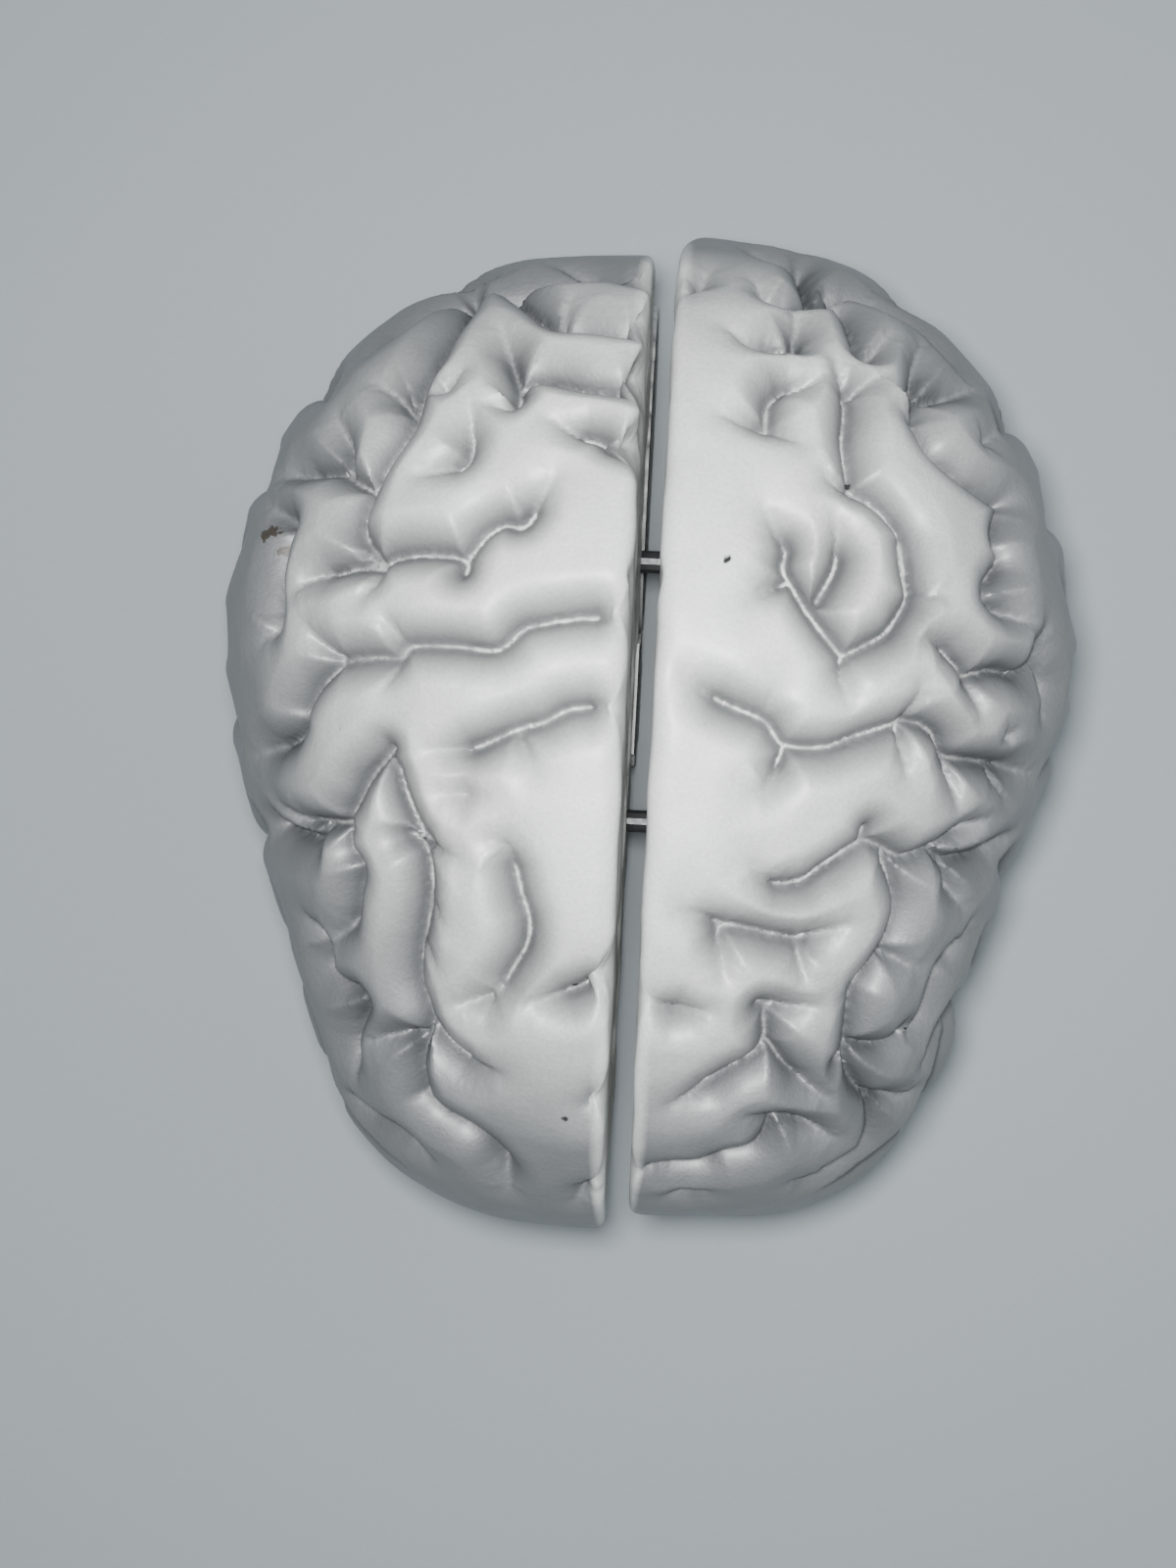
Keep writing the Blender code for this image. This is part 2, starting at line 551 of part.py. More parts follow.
def groove_distances(points, line, reach):
    """The points within reach of a groove, their distance, and its nearest point to each."""
    low, high = line.min(axis=0) - reach, line.max(axis=0) + reach
    near = np.flatnonzero(((points > low) & (points < high)).all(axis=1))
    away = (np.sum(points[near] ** 2, axis=1)[:, None] + np.sum(line ** 2, axis=1)
            - 2 * points[near] @ line.T)
    nearest = away.argmin(axis=1)
    distance = np.sqrt(np.maximum(away[np.arange(len(near)), nearest], 0))
    return near, distance, nearest


def groove_depth(distance, depth, reach):
    """How far the skin sinks: gyri round over to a groove with a narrow floor."""
    near = 1 - np.clip((distance - SULCUS_FLOOR) / (reach - SULCUS_FLOOR), 0, 1)
    return depth * 0.5 * (1 - np.sqrt(1 - near ** 2) + near ** 2)


def groove_depths(points, grooves):
    """How far each point of the skin sinks for the deepest groove near it."""
    sink = np.zeros(len(points))
    for line, depth, reach in grooves:
        near, distance, nearest = groove_distances(points, line, reach)
        sink[near] = np.maximum(sink[near], groove_depth(distance, depth[nearest], reach))
    return sink


def medial_hollows(points):
    """Extra depth of the medial face at the ventricle and round the thalamus."""
    along = points[:, 1] / HALF_LENGTH
    level = points[:, 2] / BRAIN_HEIGHT
    on_face = np.clip(1.5 - (points[:, 0] - FACE_X) / SKIN_GRAIN, 0.0, 1.0)

    def inside(centre, radii):
        return np.hypot((along - centre[0]) / radii[0], (level - centre[1]) / radii[1])

    ventricle = np.clip(2.6 * (1.0 - inside(VENTRICLE_CENTRE, VENTRICLE_RADII)), 0.0, 1.0)
    rim = inside(THALAMUS_CENTRE, THALAMUS_RADII)
    ring = np.exp(-((rim - 1.0) / 0.18) ** 2)
    return on_face * np.maximum(VENTRICLE_DEPTH * ventricle, 0.5 * VENTRICLE_DEPTH * ring)


def skin_normals(points, faces):
    quads = points[np.array(faces)]
    across = np.cross(quads[:, 2] - quads[:, 0], quads[:, 3] - quads[:, 1])
    total = np.zeros_like(points)
    for corner in range(4):
        np.add.at(total, np.array(faces)[:, corner], across)
    return total / np.maximum(np.linalg.norm(total, axis=1), 1e-12)[:, None]


def hemisphere_skin(side, grain):
    """Points and quads of one folded hemisphere, with +X across from the medial face."""
    outline = RIGHT_OUTLINE if side < 0 else LEFT_OUTLINE
    rear_corner = RIGHT_REAR_CORNER_RADIUS if side < 0 else LEFT_REAR_CORNER_RADIUS
    points, faces = fused_skin((tube(hemisphere_sections(outline, rear_corner)),
                                tube(temporal_sections())), grain)
    low, high = points.min(axis=0), points.max(axis=0)
    points = relax(points, faces, 5)
    points = low + (points - points.min(axis=0)) * (high - low) / np.ptp(points, axis=0)
    skin = BVHTree.FromPolygons([Vector(point) for point in points], faces)
    grooves = groove_lines(groove_routes(skin, side))
    normals = skin_normals(points, faces)
    centre = points.mean(axis=0)
    if np.einsum("ij,ij->i", normals, points - centre).mean() < 0:
        normals = -normals
    sink = groove_depths(points, grooves) + medial_hollows(points)
    points = points - normals * sink[:, None]
    points[:, 0] = np.maximum(points[:, 0], FACE_X)
    return points, faces


def to_side(points, side):
    """Moves points from (across, along, up) to the half's own side of X = 0."""
    return np.asarray(points, float) * (side, 1.0, 1.0)


def cerebellum_envelope(across_angle, turn, grow):
    """A point of the smooth cerebellum: turn runs round the X axis, from the front."""
    height = (CEREBELLUM_TOP + CEREBELLUM_REST_CUT) / 2
    radii = (CEREBELLUM_WIDTH + grow, CEREBELLUM_LENGTH / 2 + grow, height + grow)
    centre_level = height - CEREBELLUM_REST_CUT
    return (radii[0] * math.sin(across_angle),
            CEREBELLUM_CENTRE_Y - radii[1] * math.cos(across_angle) * math.cos(turn),
            centre_level + radii[2] * math.cos(across_angle) * math.sin(turn))


def cerebellum_rings():
    """Rings of the folded half cerebellum, from the medial face to its side tip."""
    turns = 2 * CEREBELLUM_FOLIA
    across_steps = 7
    tip = math.radians(86)
    rings = []
    start = math.asin(FACE_X / CEREBELLUM_WIDTH)
    for step in range(across_steps + 1):
        across_angle = start + (tip - start) * step / across_steps
        ring = []
        for turn_step in range(turns):
            turn = 2 * math.pi * turn_step / turns
            fold = FOLIUM_DEPTH if turn_step % 2 else 0.0
            if turn_step == CEREBELLUM_FOLIA + 1:
                fold = HORIZONTAL_FISSURE_DEPTH
            behind = max(0.0, -math.cos(turn) + 0.75)
            sink = fold * min(1.0, behind) * math.cos(across_angle) ** 0.5
            x, y, z = cerebellum_envelope(across_angle, turn, -sink)
            ring.append((max(x, FACE_X) if step else FACE_X, y, max(z, 0.0)))
        rings.append(ring)
    return rings


def cerebellum_cutter(name, side):
    """The space that a half cerebellum sits in, open to the back so that it slides out."""
    steps = 36
    ways = 10
    slide = Vector((0.0, BRAIN_LENGTH, 0.0))
    points = []
    for way in range(ways + 1):
        across_angle = math.radians(88) * way / ways
        for step in range(steps):
            turn = 2 * math.pi * step / steps
            point = Vector(cerebellum_envelope(across_angle, turn, CLEARANCE))
            if way == 0:
                point.x = -FACE_X
            points.append(to_side(point, side))
            points.append(to_side(point + slide, side))
    return hull_object(name, points)


def hull_object(name, points):
    """A convex cutter around the points."""
    mesh = bpy.data.meshes.new(name)
    shape = bmesh.new()
    for point in points:
        shape.verts.new(tuple(point))
    result = bmesh.ops.convex_hull(shape, input=shape.verts)
    bmesh.ops.delete(shape, geom=list({*result["geom_interior"], *result["geom_unused"]}),
                     context="VERTS")
    bmesh.ops.recalc_face_normals(shape, faces=shape.faces)
    shape.to_mesh(mesh)
    shape.free()
    piece = bpy.data.objects.new(name, mesh)
    bpy.context.scene.collection.objects.link(piece)
    return as_cutter(piece)


def as_cutter(piece):
    piece.hide_render = True
    piece.display_type = "WIRE"
    return piece


def brainstem_outline(radius, deep, level):
    """Half an oval at one level, flat at the medial face."""
    steps = 12
    ring = [(FACE_X, BRAINSTEM_CENTRE_Y - deep, level)]
    for step in range(1, steps):
        angle = math.pi * step / steps
        ring.append((FACE_X + (radius - FACE_X) * math.sin(angle),
                     BRAINSTEM_CENTRE_Y - deep * math.cos(angle), level))
    ring.append((FACE_X, BRAINSTEM_CENTRE_Y + deep, level))
    return ring


def brainstem_rings():
    """Rings of half a brain stem: medulla, pons and midbrain, from the foot up."""
    tall = BRAINSTEM_SEAT - BRAINSTEM_FOOT
    depth_share = 0.86
    sections = ((0.0, 0.90 * MEDULLA_RADIUS), (0.05, MEDULLA_RADIUS), (0.20, MEDULLA_RADIUS),
                (0.32, 1.12 * MEDULLA_RADIUS), (0.38, 0.98 * MEDULLA_RADIUS),
                (0.42, 0.88 * PONS_RADIUS), (0.52, PONS_RADIUS), (0.64, PONS_RADIUS),
                (0.73, 0.88 * PONS_RADIUS), (0.77, MIDBRAIN_RADIUS), (1.0, MIDBRAIN_RADIUS))
    return [brainstem_outline(radius, depth_share * min(radius, PONS_RADIUS * 0.95),
                              BRAINSTEM_FOOT + share * tall)
            for share, radius in sections]


def brainstem_cutter(name, side):
    """The pocket for the top of a half brain stem, open downwards so that it slides out."""
    points = []
    for level in (BRAINSTEM_SEAT + CLEARANCE, BRAINSTEM_SEAT - BRAINSTEM_POCKET_DEPTH):
        for x, y, z in brainstem_outline(MIDBRAIN_RADIUS + CLEARANCE,
                                         0.86 * MIDBRAIN_RADIUS + CLEARANCE, level):
            points.append(to_side((x if x > FACE_X else -FACE_X, y, z), side))
    return hull_object(name, points)


def rod(name, start, end, radius, material=None):
    """A round rod with small chamfers, or a plain one where it is a cutter."""
    start, end = Vector(start), Vector(end)
    way = (end - start).normalized()
    across = way.orthogonal().normalized()
    other = way.cross(across)
    sides = 12
    chamfer = PIN_CHAMFER if material else 0.0
    stops = ((0.0, radius - chamfer), (chamfer, radius),
             ((end - start).length - chamfer, radius), ((end - start).length, radius - chamfer))
    rings = []
    for place, size in stops if material else (stops[0], stops[3]):
        rings.append([start + way * place
                      + (across * math.cos(turn) + other * math.sin(turn)) * size
                      for turn in (2 * math.pi * step / sides for step in range(sides))])
    return add_object(name, *tube(rings), material)


def table_cutter():
    """Everything below the level that the model rests on."""
    wide, deep = BRAIN_LENGTH, BRAIN_HEIGHT
    corners = [(x, y, z) for x in (-wide, wide) for y in (-wide, wide) for z in (-deep, 0.0)]
    return hull_object("table_cutter", corners)


def cut(piece, cutter):
    tool = piece.modifiers.new("Cut " + cutter.name, "BOOLEAN")
    tool.operation = "DIFFERENCE"
    tool.solver = "EXACT"
    tool.object = cutter


def build_hemisphere(name, side, material):
    points, faces = hemisphere_skin(side, SKIN_GRAIN)
    piece = add_object(name, to_side(points, side), faces, material)
    fewer = piece.modifiers.new("Facets", "DECIMATE")
    fewer.ratio = HEMISPHERE_TRIANGLES / (2 * len(faces))
    return piece


def build_half(word, side, materials, table):
    """One half of the model: hemisphere, half cerebellum, half brain stem and their pegs."""
    hemisphere = build_hemisphere(word + "_hemisphere", side, materials["cast"])
    cerebellum = add_object(word + "_cerebellum",
                            [to_side(point, side) for ring in cerebellum_rings()
                             for point in ring],
                            tube(cerebellum_rings())[1], materials["cast"])
    brainstem = add_object(word + "_brainstem",
                           [to_side(point, side) for ring in brainstem_rings()
                            for point in ring],
                           tube(brainstem_rings())[1], materials["cast"])
    brainstem.data.shade_smooth()

    rod(word + "_cerebellum_peg", *peg_ends(side), PEG_RADIUS, materials["pin"])
    rod(word + "_brainstem_peg", *stem_peg_ends(side), PEG_RADIUS, materials["pin"])
    cutters = [cerebellum_cutter(word + "_cerebellum_space", side),
               brainstem_cutter(word + "_brainstem_pocket", side),
               peg_hole(word + "_cerebellum_peg_hole", *peg_ends(side)),
               peg_hole(word + "_brainstem_peg_hole", *stem_peg_ends(side))]
    for cutter in cutters + [table]:
        cut(hemisphere, cutter)
    cut(cerebellum, cutters[2])
    cut(brainstem, cutters[3])
    return hemisphere


def peg_hole(name, start, end):
    start, end = Vector(start), Vector(end)
    way = (end - start).normalized() * CLEARANCE
    return as_cutter(rod(name, start - way, end + way, PEG_RADIUS + CLEARANCE))


def peg_ends(side):
    """Ends of the peg that holds a half cerebellum."""
    angle = math.asin(CEREBELLUM_PEG_ACROSS / CEREBELLUM_WIDTH)
    seat = cerebellum_envelope(angle, 0.0, 0.0)[1]
    across = side * CEREBELLUM_PEG_ACROSS
    return ((across, seat - PEG_IN_HEMISPHERE, CEREBELLUM_PEG_HEIGHT),
            (across, seat + PEG_IN_PIECE, CEREBELLUM_PEG_HEIGHT))


def stem_peg_ends(side):
    """Ends of the peg that holds a half brain stem."""
    across = side * BRAINSTEM_PEG_ACROSS
    return ((across, BRAINSTEM_CENTRE_Y, BRAINSTEM_SEAT + PEG_IN_HEMISPHERE),
            (across, BRAINSTEM_CENTRE_Y, BRAINSTEM_SEAT - PEG_IN_PIECE))


def locating_hole(name, along):
    """Cutter for the hole that a locating pin sits in at the right and slides in at the left."""
    start = (-FACE_X - LOCATING_PIN_IN_RIGHT - CLEARANCE, along, LOCATING_PIN_HEIGHT)
    end = (FACE_X + LOCATING_PIN_IN_LEFT + HALVES_GAP, along, LOCATING_PIN_HEIGHT)
    return as_cutter(rod(name, start, end, LOCATING_PIN_RADIUS + CLEARANCE))


def build_locating_pins(right, left, material):
    """Pins fixed in the right half, which slide in holes of the left half as it closes."""
    for word, along in (("front", LOCATING_PIN_FRONT_Y), ("rear", LOCATING_PIN_REAR_Y)):
        start = (-FACE_X - LOCATING_PIN_IN_RIGHT, along, LOCATING_PIN_HEIGHT)
        end = (FACE_X + LOCATING_PIN_IN_LEFT, along, LOCATING_PIN_HEIGHT)
        rod("locating_pin_" + word, start, end, LOCATING_PIN_RADIUS, material)
        hole = locating_hole("locating_hole_" + word, along)
        cut(right, hole)
        cut(left, hole)


def main():
    remove_everything()
    materials = {
        "cast": make_material("cast_plastic", (0.62, 0.63, 0.61), 0.55),
        "pin": make_material("pin_metal", (0.55, 0.55, 0.56), 0.35, 1.0),
    }
    table = table_cutter()
    right = build_half("right", -1, materials, table)
    left = build_half("left", 1, materials, table)
    build_locating_pins(right, left, materials["pin"])


main()
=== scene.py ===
"""Looks of the brain anatomy model: fine folded castings, their finish, light and camera.

Metres, +Z up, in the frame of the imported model: frontal poles to -Y, the right half at -X.
"""
import math

import bmesh
import bpy
import numpy as np
from mathutils import Matrix, Vector, noise
from mathutils.bvhtree import BVHTree
from mathutils.kdtree import KDTree


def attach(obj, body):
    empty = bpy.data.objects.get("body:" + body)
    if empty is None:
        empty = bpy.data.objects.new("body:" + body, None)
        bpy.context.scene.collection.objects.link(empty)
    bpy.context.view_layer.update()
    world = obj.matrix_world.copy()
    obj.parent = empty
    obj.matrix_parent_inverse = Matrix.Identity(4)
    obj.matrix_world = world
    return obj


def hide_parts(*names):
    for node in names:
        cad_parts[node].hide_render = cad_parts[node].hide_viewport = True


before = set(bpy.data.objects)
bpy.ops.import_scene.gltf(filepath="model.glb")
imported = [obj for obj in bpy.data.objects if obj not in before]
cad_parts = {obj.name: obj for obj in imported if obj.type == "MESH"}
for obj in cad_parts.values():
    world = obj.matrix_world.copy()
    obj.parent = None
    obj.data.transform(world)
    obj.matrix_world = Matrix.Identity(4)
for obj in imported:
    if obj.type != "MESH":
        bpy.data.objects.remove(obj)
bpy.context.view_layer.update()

# Overall sizes
BRAIN_LENGTH = 0.172
HALF_WIDTH = 0.0728
BRAIN_HEIGHT = 0.115
HALVES_GAP = 0.0034
CLEARANCE = 0.0003

# Sulci: full depth of a groove, half the width of its floor, and how far from its middle the
# gyrus starts to round over
SULCUS_DEPTH = 0.006
SULCUS_FLOOR = 0.0005
SULCUS_REACH = 0.0076
SULCUS_END_TAPER = 0.006
SULCUS_END_SHARE = 0.3
SULCUS_JOIN = 0.0025
SULCUS_SPACING = 0.0004
SYLVIAN_DEPTH = 0.0085
SYLVIAN_REACH = 0.0085
MEDIAL_DEPTH = 0.0032
MEDIAL_REACH = 0.0046
VENTRICLE_DEPTH = 0.003
MEDIAL_EDGE_RADIUS = 0.003
FRONTAL_CORNER_RADIUS = 0.003
RIGHT_REAR_CORNER_RADIUS = 0.0025
LEFT_REAR_CORNER_RADIUS = 0.007

# Temporal lobe, a lobe of oval section that hangs under the side of the hemisphere
TEMPORAL_WIDTH = 0.048
TEMPORAL_HEIGHT = 0.053
TEMPORAL_REST_CUT = 0.0012
TEMPORAL_STEM_ROOM = 0.0014

# Cerebellum
CEREBELLUM_WIDTH = 0.05
CEREBELLUM_LENGTH = 0.06
CEREBELLUM_TOP = 0.044
CEREBELLUM_REST_CUT = 0.0012
CEREBELLUM_CENTRE_Y = 0.049
CEREBELLUM_FOLIA = 22
FOLIUM_DEPTH = 0.0011
HORIZONTAL_FISSURE_DEPTH = 0.0028
CEREBELLUM_TIP = math.radians(88)
CEREBELLUM_RINGS = 70
CUT_FACE_SHARE = 0.98

# Folia: points round each, how they wander, and where behind they start. Fissures: angle
# round the X axis and width
FOLIUM_STEPS = 12
FOLIUM_SPREAD = 1.4
FOLIUM_WANDER = 0.35
FOLIUM_WAVES = (3.0, 4.0)
FOLIUM_START = 0.75
MAIN_FISSURE = (1.05 * math.pi, 0.05)
SECOND_FISSURE = (0.72 * math.pi, 0.04)
SECOND_FISSURE_SHARE = 0.6

# Brain stem
BRAINSTEM_FOOT = 0.0
BRAINSTEM_SEAT = 0.043
BRAINSTEM_POCKET_DEPTH = 0.014
BRAINSTEM_CENTRE_Y = 0.006
MEDULLA_RADIUS = 0.0085
PONS_RADIUS = 0.015
MIDBRAIN_RADIUS = 0.0115
STEM_FLATNESS = 0.86
PONS_MIDDLE = 0.58
PONS_SPREAD = 0.13
PONS_RIB_DEPTH = 0.00025
PONS_RIB_TURNS = 150

# Brain stem, upwards: (share of its height, radius)
STEM_SECTIONS = (
    (0.0, 0.9 * MEDULLA_RADIUS), (0.03, MEDULLA_RADIUS), (0.2, MEDULLA_RADIUS), (0.32, 1.1 * MEDULLA_RADIUS),
    (0.37, 0.98 * MEDULLA_RADIUS), (0.42, 0.86 * PONS_RADIUS), (0.52, 0.99 * PONS_RADIUS),
    (0.64, 0.99 * PONS_RADIUS), (0.73, 0.86 * PONS_RADIUS), (0.78, MIDBRAIN_RADIUS), (1.0, MIDBRAIN_RADIUS),
)

# Pins and pegs
LOCATING_PIN_RADIUS = 0.002
LOCATING_PIN_IN_RIGHT = 0.008
LOCATING_PIN_IN_LEFT = 0.0065
LOCATING_PIN_FRONT_Y = -0.0155
LOCATING_PIN_REAR_Y = 0.03
LOCATING_PIN_HEIGHT = 0.051
PEG_RADIUS = 0.0015
PEG_IN_HEMISPHERE = 0.008
PEG_IN_PIECE = 0.007
CEREBELLUM_PEG_ACROSS = 0.036
CEREBELLUM_PEG_HEIGHT = 0.024
BRAINSTEM_PEG_ACROSS = 0.0075

# Fineness of the cast surface
SKIN_GRAIN = 0.00062
RELAX_ROUNDS = 20
RELAX_SHARE = 0.6
SULCUS_SNAP = 0.5
PLAN_CURVE_STEPS = 4
SIDE_CURVE_STEPS = 6
DENT_DEPTH = 0.0007
DENT_SIZE = 0.009
EDGE_ANGLE = 62
TRIANGLE_LIMIT = 194000

# Painted shade: the colour darkens where the dome turns from the given up direction, and the darkening fades
# near the medial edge and down the side. The medial faces of the cerebellum and of the brain stem, which lie
# in the shade of the gap, have a share of it
SHADE_UP = (0.0, 0.2, 1.0)
SHADE_DOME_LEVEL = 0.048
SHADE_EDGE = 0.003
SHADE_FOOT = 0.028
SHADE_FADE = 0.022
# share of painted shade on the medial faces of the cerebellum and brain stem, and how far from the face it
# reaches
FACE_SHADE = 0.23
FACE_SHADE_REACH = 0.002

# Spots on the upper side of each half: plan mark and radius
SPOTS = {
    -1: {"chip": (((266, 539), 0.0026), ((270, 554), 0.0019)),
         "speck": (((583, 1017), 0.0008), ((576, 1145), 0.0009))},
    1: {"chip": (), "speck": (((741, 571), 0.0011), ((876, 482), 0.001))},
}

# Finish
CROWN_COLOUR = (0.73, 0.75, 0.73)
# colour of the painted shade on the sides of the dome and on the medial faces in the gap
PAINTED_SHADE_COLOUR = (0.145, 0.153, 0.157)
# dark colour of the painted shade towards the creases, also used for the random fine mottle
CREASE_SHADE_AND_MOTTLE_COLOUR = (0.078, 0.083, 0.088)
# darkest painted shade, a thin line near each crease
CREASE_SHADE_LINE_COLOUR = (0.048, 0.048, 0.05)
TINT_COLOUR = (0.72, 0.7, 0.64)
PAINT_COLOUR = (0.095, 0.2, 0.24)
CHIP_COLOUR = (0.034, 0.026, 0.018)
SPECK_COLOUR = (0.01, 0.01, 0.012)
PIN_COLOUR = (0.14, 0.14, 0.145)
PIN_DULL_COLOUR = (0.105, 0.105, 0.10875)
TABLE_COLOUR = (0.27, 0.3, 0.32)
TABLE_SPECKLE_COLOUR = (0.2835, 0.315, 0.336)

# Noise of the materials: scale, detail and roughness
WIDE_NOISE = (28, 3, 0.55)
MIDDLE_NOISE = (170, 4, 0.55)
FINE_NOISE = (1500, 3, 0.55)
CHIP_NOISE = (900, 3, 0.55)
PIN_NOISE = (900, 3, 0.5)
TABLE_NOISE = (700, 2, 0.5)

# Ranges: from low and high, and to low and high if not 0 and 1
TINT_RANGE = (0.48, 0.72, 0.0, 0.35)
# how the painted shade grows over the turn of the dome
PAINTED_SHADE_RANGE = (0.045, 0.38)
MOTTLE_RANGE = (0.35, 0.7, 0.0, 0.16)
PAINT_RANGE = (0.35, 0.6)
CHIP_RANGE = (0.4, 0.48)
CHIP_BREAK = (0.3, 0.7, -0.3, 0.3)
SPECK_RANGE = (0.25, 0.45)
DULL_RANGE = (0.2, 0.4)
CAST_ROUGHNESS = (0.3, 0.7, 0.5, 0.62)
CAST_SPECULAR = 0.9
CAST_COAT = 0.5
CAST_COAT_ROUGHNESS = 0.36

# Painted shade of a fold, darker towards the crease with a darker line near it, and a painted highlight on
# its floor: range over its depth, and range over the noise that breaks it up
CREASE_SHADE = ((0.18, 0.88, 0.0, 0.94), (0.3, 0.6, 0.75, 1.0))
CREASE_SHADE_LINE = ((0.8, 0.97, 0.0, 0.8), (0.5, 0.68))
# painted highlight along the groove floors
FLOOR_HIGHLIGHT = ((0.94, 0.995, 0.0, 0.85), (0.42, 0.56, 0.25, 1.0))

# Bumps: strength and distance
FINE_BUMP = (0.7, 0.00012)
SOFT_BUMP = (0.5, 0.0004)

# Pins and table
PIN_ROUGHNESS = (0.3, 0.7, 0.46, 0.6)
TABLE_HALF = 1.6
TABLE_ROUGHNESS = 0.6

# Camera, in the picture's pixels and in metres
PICTURE_WIDTH = 1200
PICTURE_HEIGHT = 1600

# The plan is drawn in marks, as seen from a point above the model
PLAN_CENTRE = (656, 748)
PLAN_LEAN = math.radians(2.95)
PLAN_LENGTH_MARKS = 1013
EYE_HEIGHT = 0.55
EYE_ACROSS = 0.008
SENSOR_HEIGHT = 24.0
CLIP_START = 0.01
OUTLINE_HEIGHT = 0.058

# Studio
KEY_PLACE = (EYE_ACROSS - 0.0145, 0.016, 0.57)
KEY_TARGET = (0.0, 0.01, 0.05)
KEY_SIZE = 0.06
KEY_POWER = 5.0
ROOM_PLACE = (0.55, 0.25, 0.9)
ROOM_SIZE = 0.8
ROOM_POWER = 2.5
ROOM_COLOUR = (0.92, 0.97, 1.0)
FILL_COLOUR = (0.8, 0.9, 1.0)
FILL_STRENGTH = 0.16

# Side profile over and under the hemisphere: (share of half length, share of height)
TOP_PROFILE = (
    (-0.99, 0.5), (-0.95, 0.66), (-0.85, 0.79), (-0.65, 0.9), (-0.35, 0.97), (0.0, 1.0), (0.25, 0.995),
    (0.5, 0.945), (0.7, 0.86), (0.85, 0.745), (0.95, 0.62), (0.99, 0.5),
)
UNDER_PROFILE = (
    (-0.99, 0.5), (-0.93, 0.4), (-0.8, 0.345), (-0.5, 0.32), (-0.2, 0.33), (0.1, 0.355), (0.35, 0.383),
    (0.6, 0.386), (0.85, 0.395), (0.95, 0.425), (0.99, 0.5),
)

# Outline seen from above: (share of half width, share of half length)
RIGHT_OUTLINE = (
    (0.0, -0.98), (0.13, -1.0), (0.26, -0.99), (0.45, -0.94), (0.58, -0.865), (0.68, -0.77), (0.765, -0.585),
    (0.845, -0.38), (0.925, -0.18), (0.972, -0.015), (0.995, 0.17), (0.972, 0.33), (0.876, 0.56),
    (0.738, 0.725), (0.596, 0.836), (0.378, 0.935), (0.21, 0.962), (0.0, 0.95),
)
LEFT_OUTLINE = (
    (0.0, -0.95), (0.28, -0.967), (0.5, -0.909), (0.645, -0.8), (0.748, -0.648), (0.806, -0.463),
    (0.862, -0.3), (0.932, -0.12), (0.985, 0.03), (1.008, 0.178), (0.972, 0.344), (0.888, 0.56),
    (0.77, 0.72), (0.6, 0.865), (0.418, 0.96), (0.2, 1.0), (0.0, 0.98),
)

# Temporal lobe from its pole backwards: (share of half length, share of half width, height
# of its middle as a share of its height, size as a share of its full section)
TEMPORAL_LOBE = (
    (-0.575, 0.47, 0.62, 0.18), (-0.555, 0.475, 0.6, 0.52), (-0.5, 0.49, 0.57, 0.78),
    (-0.38, 0.535, 0.51, 0.93), (-0.15, 0.585, 0.475, 1.0), (0.08, 0.615, 0.48, 1.02),
    (0.26, 0.6, 0.56, 0.98), (0.42, 0.56, 0.72, 0.88), (0.58, 0.49, 0.9, 0.72), (0.7, 0.42, 1.06, 0.5),
)

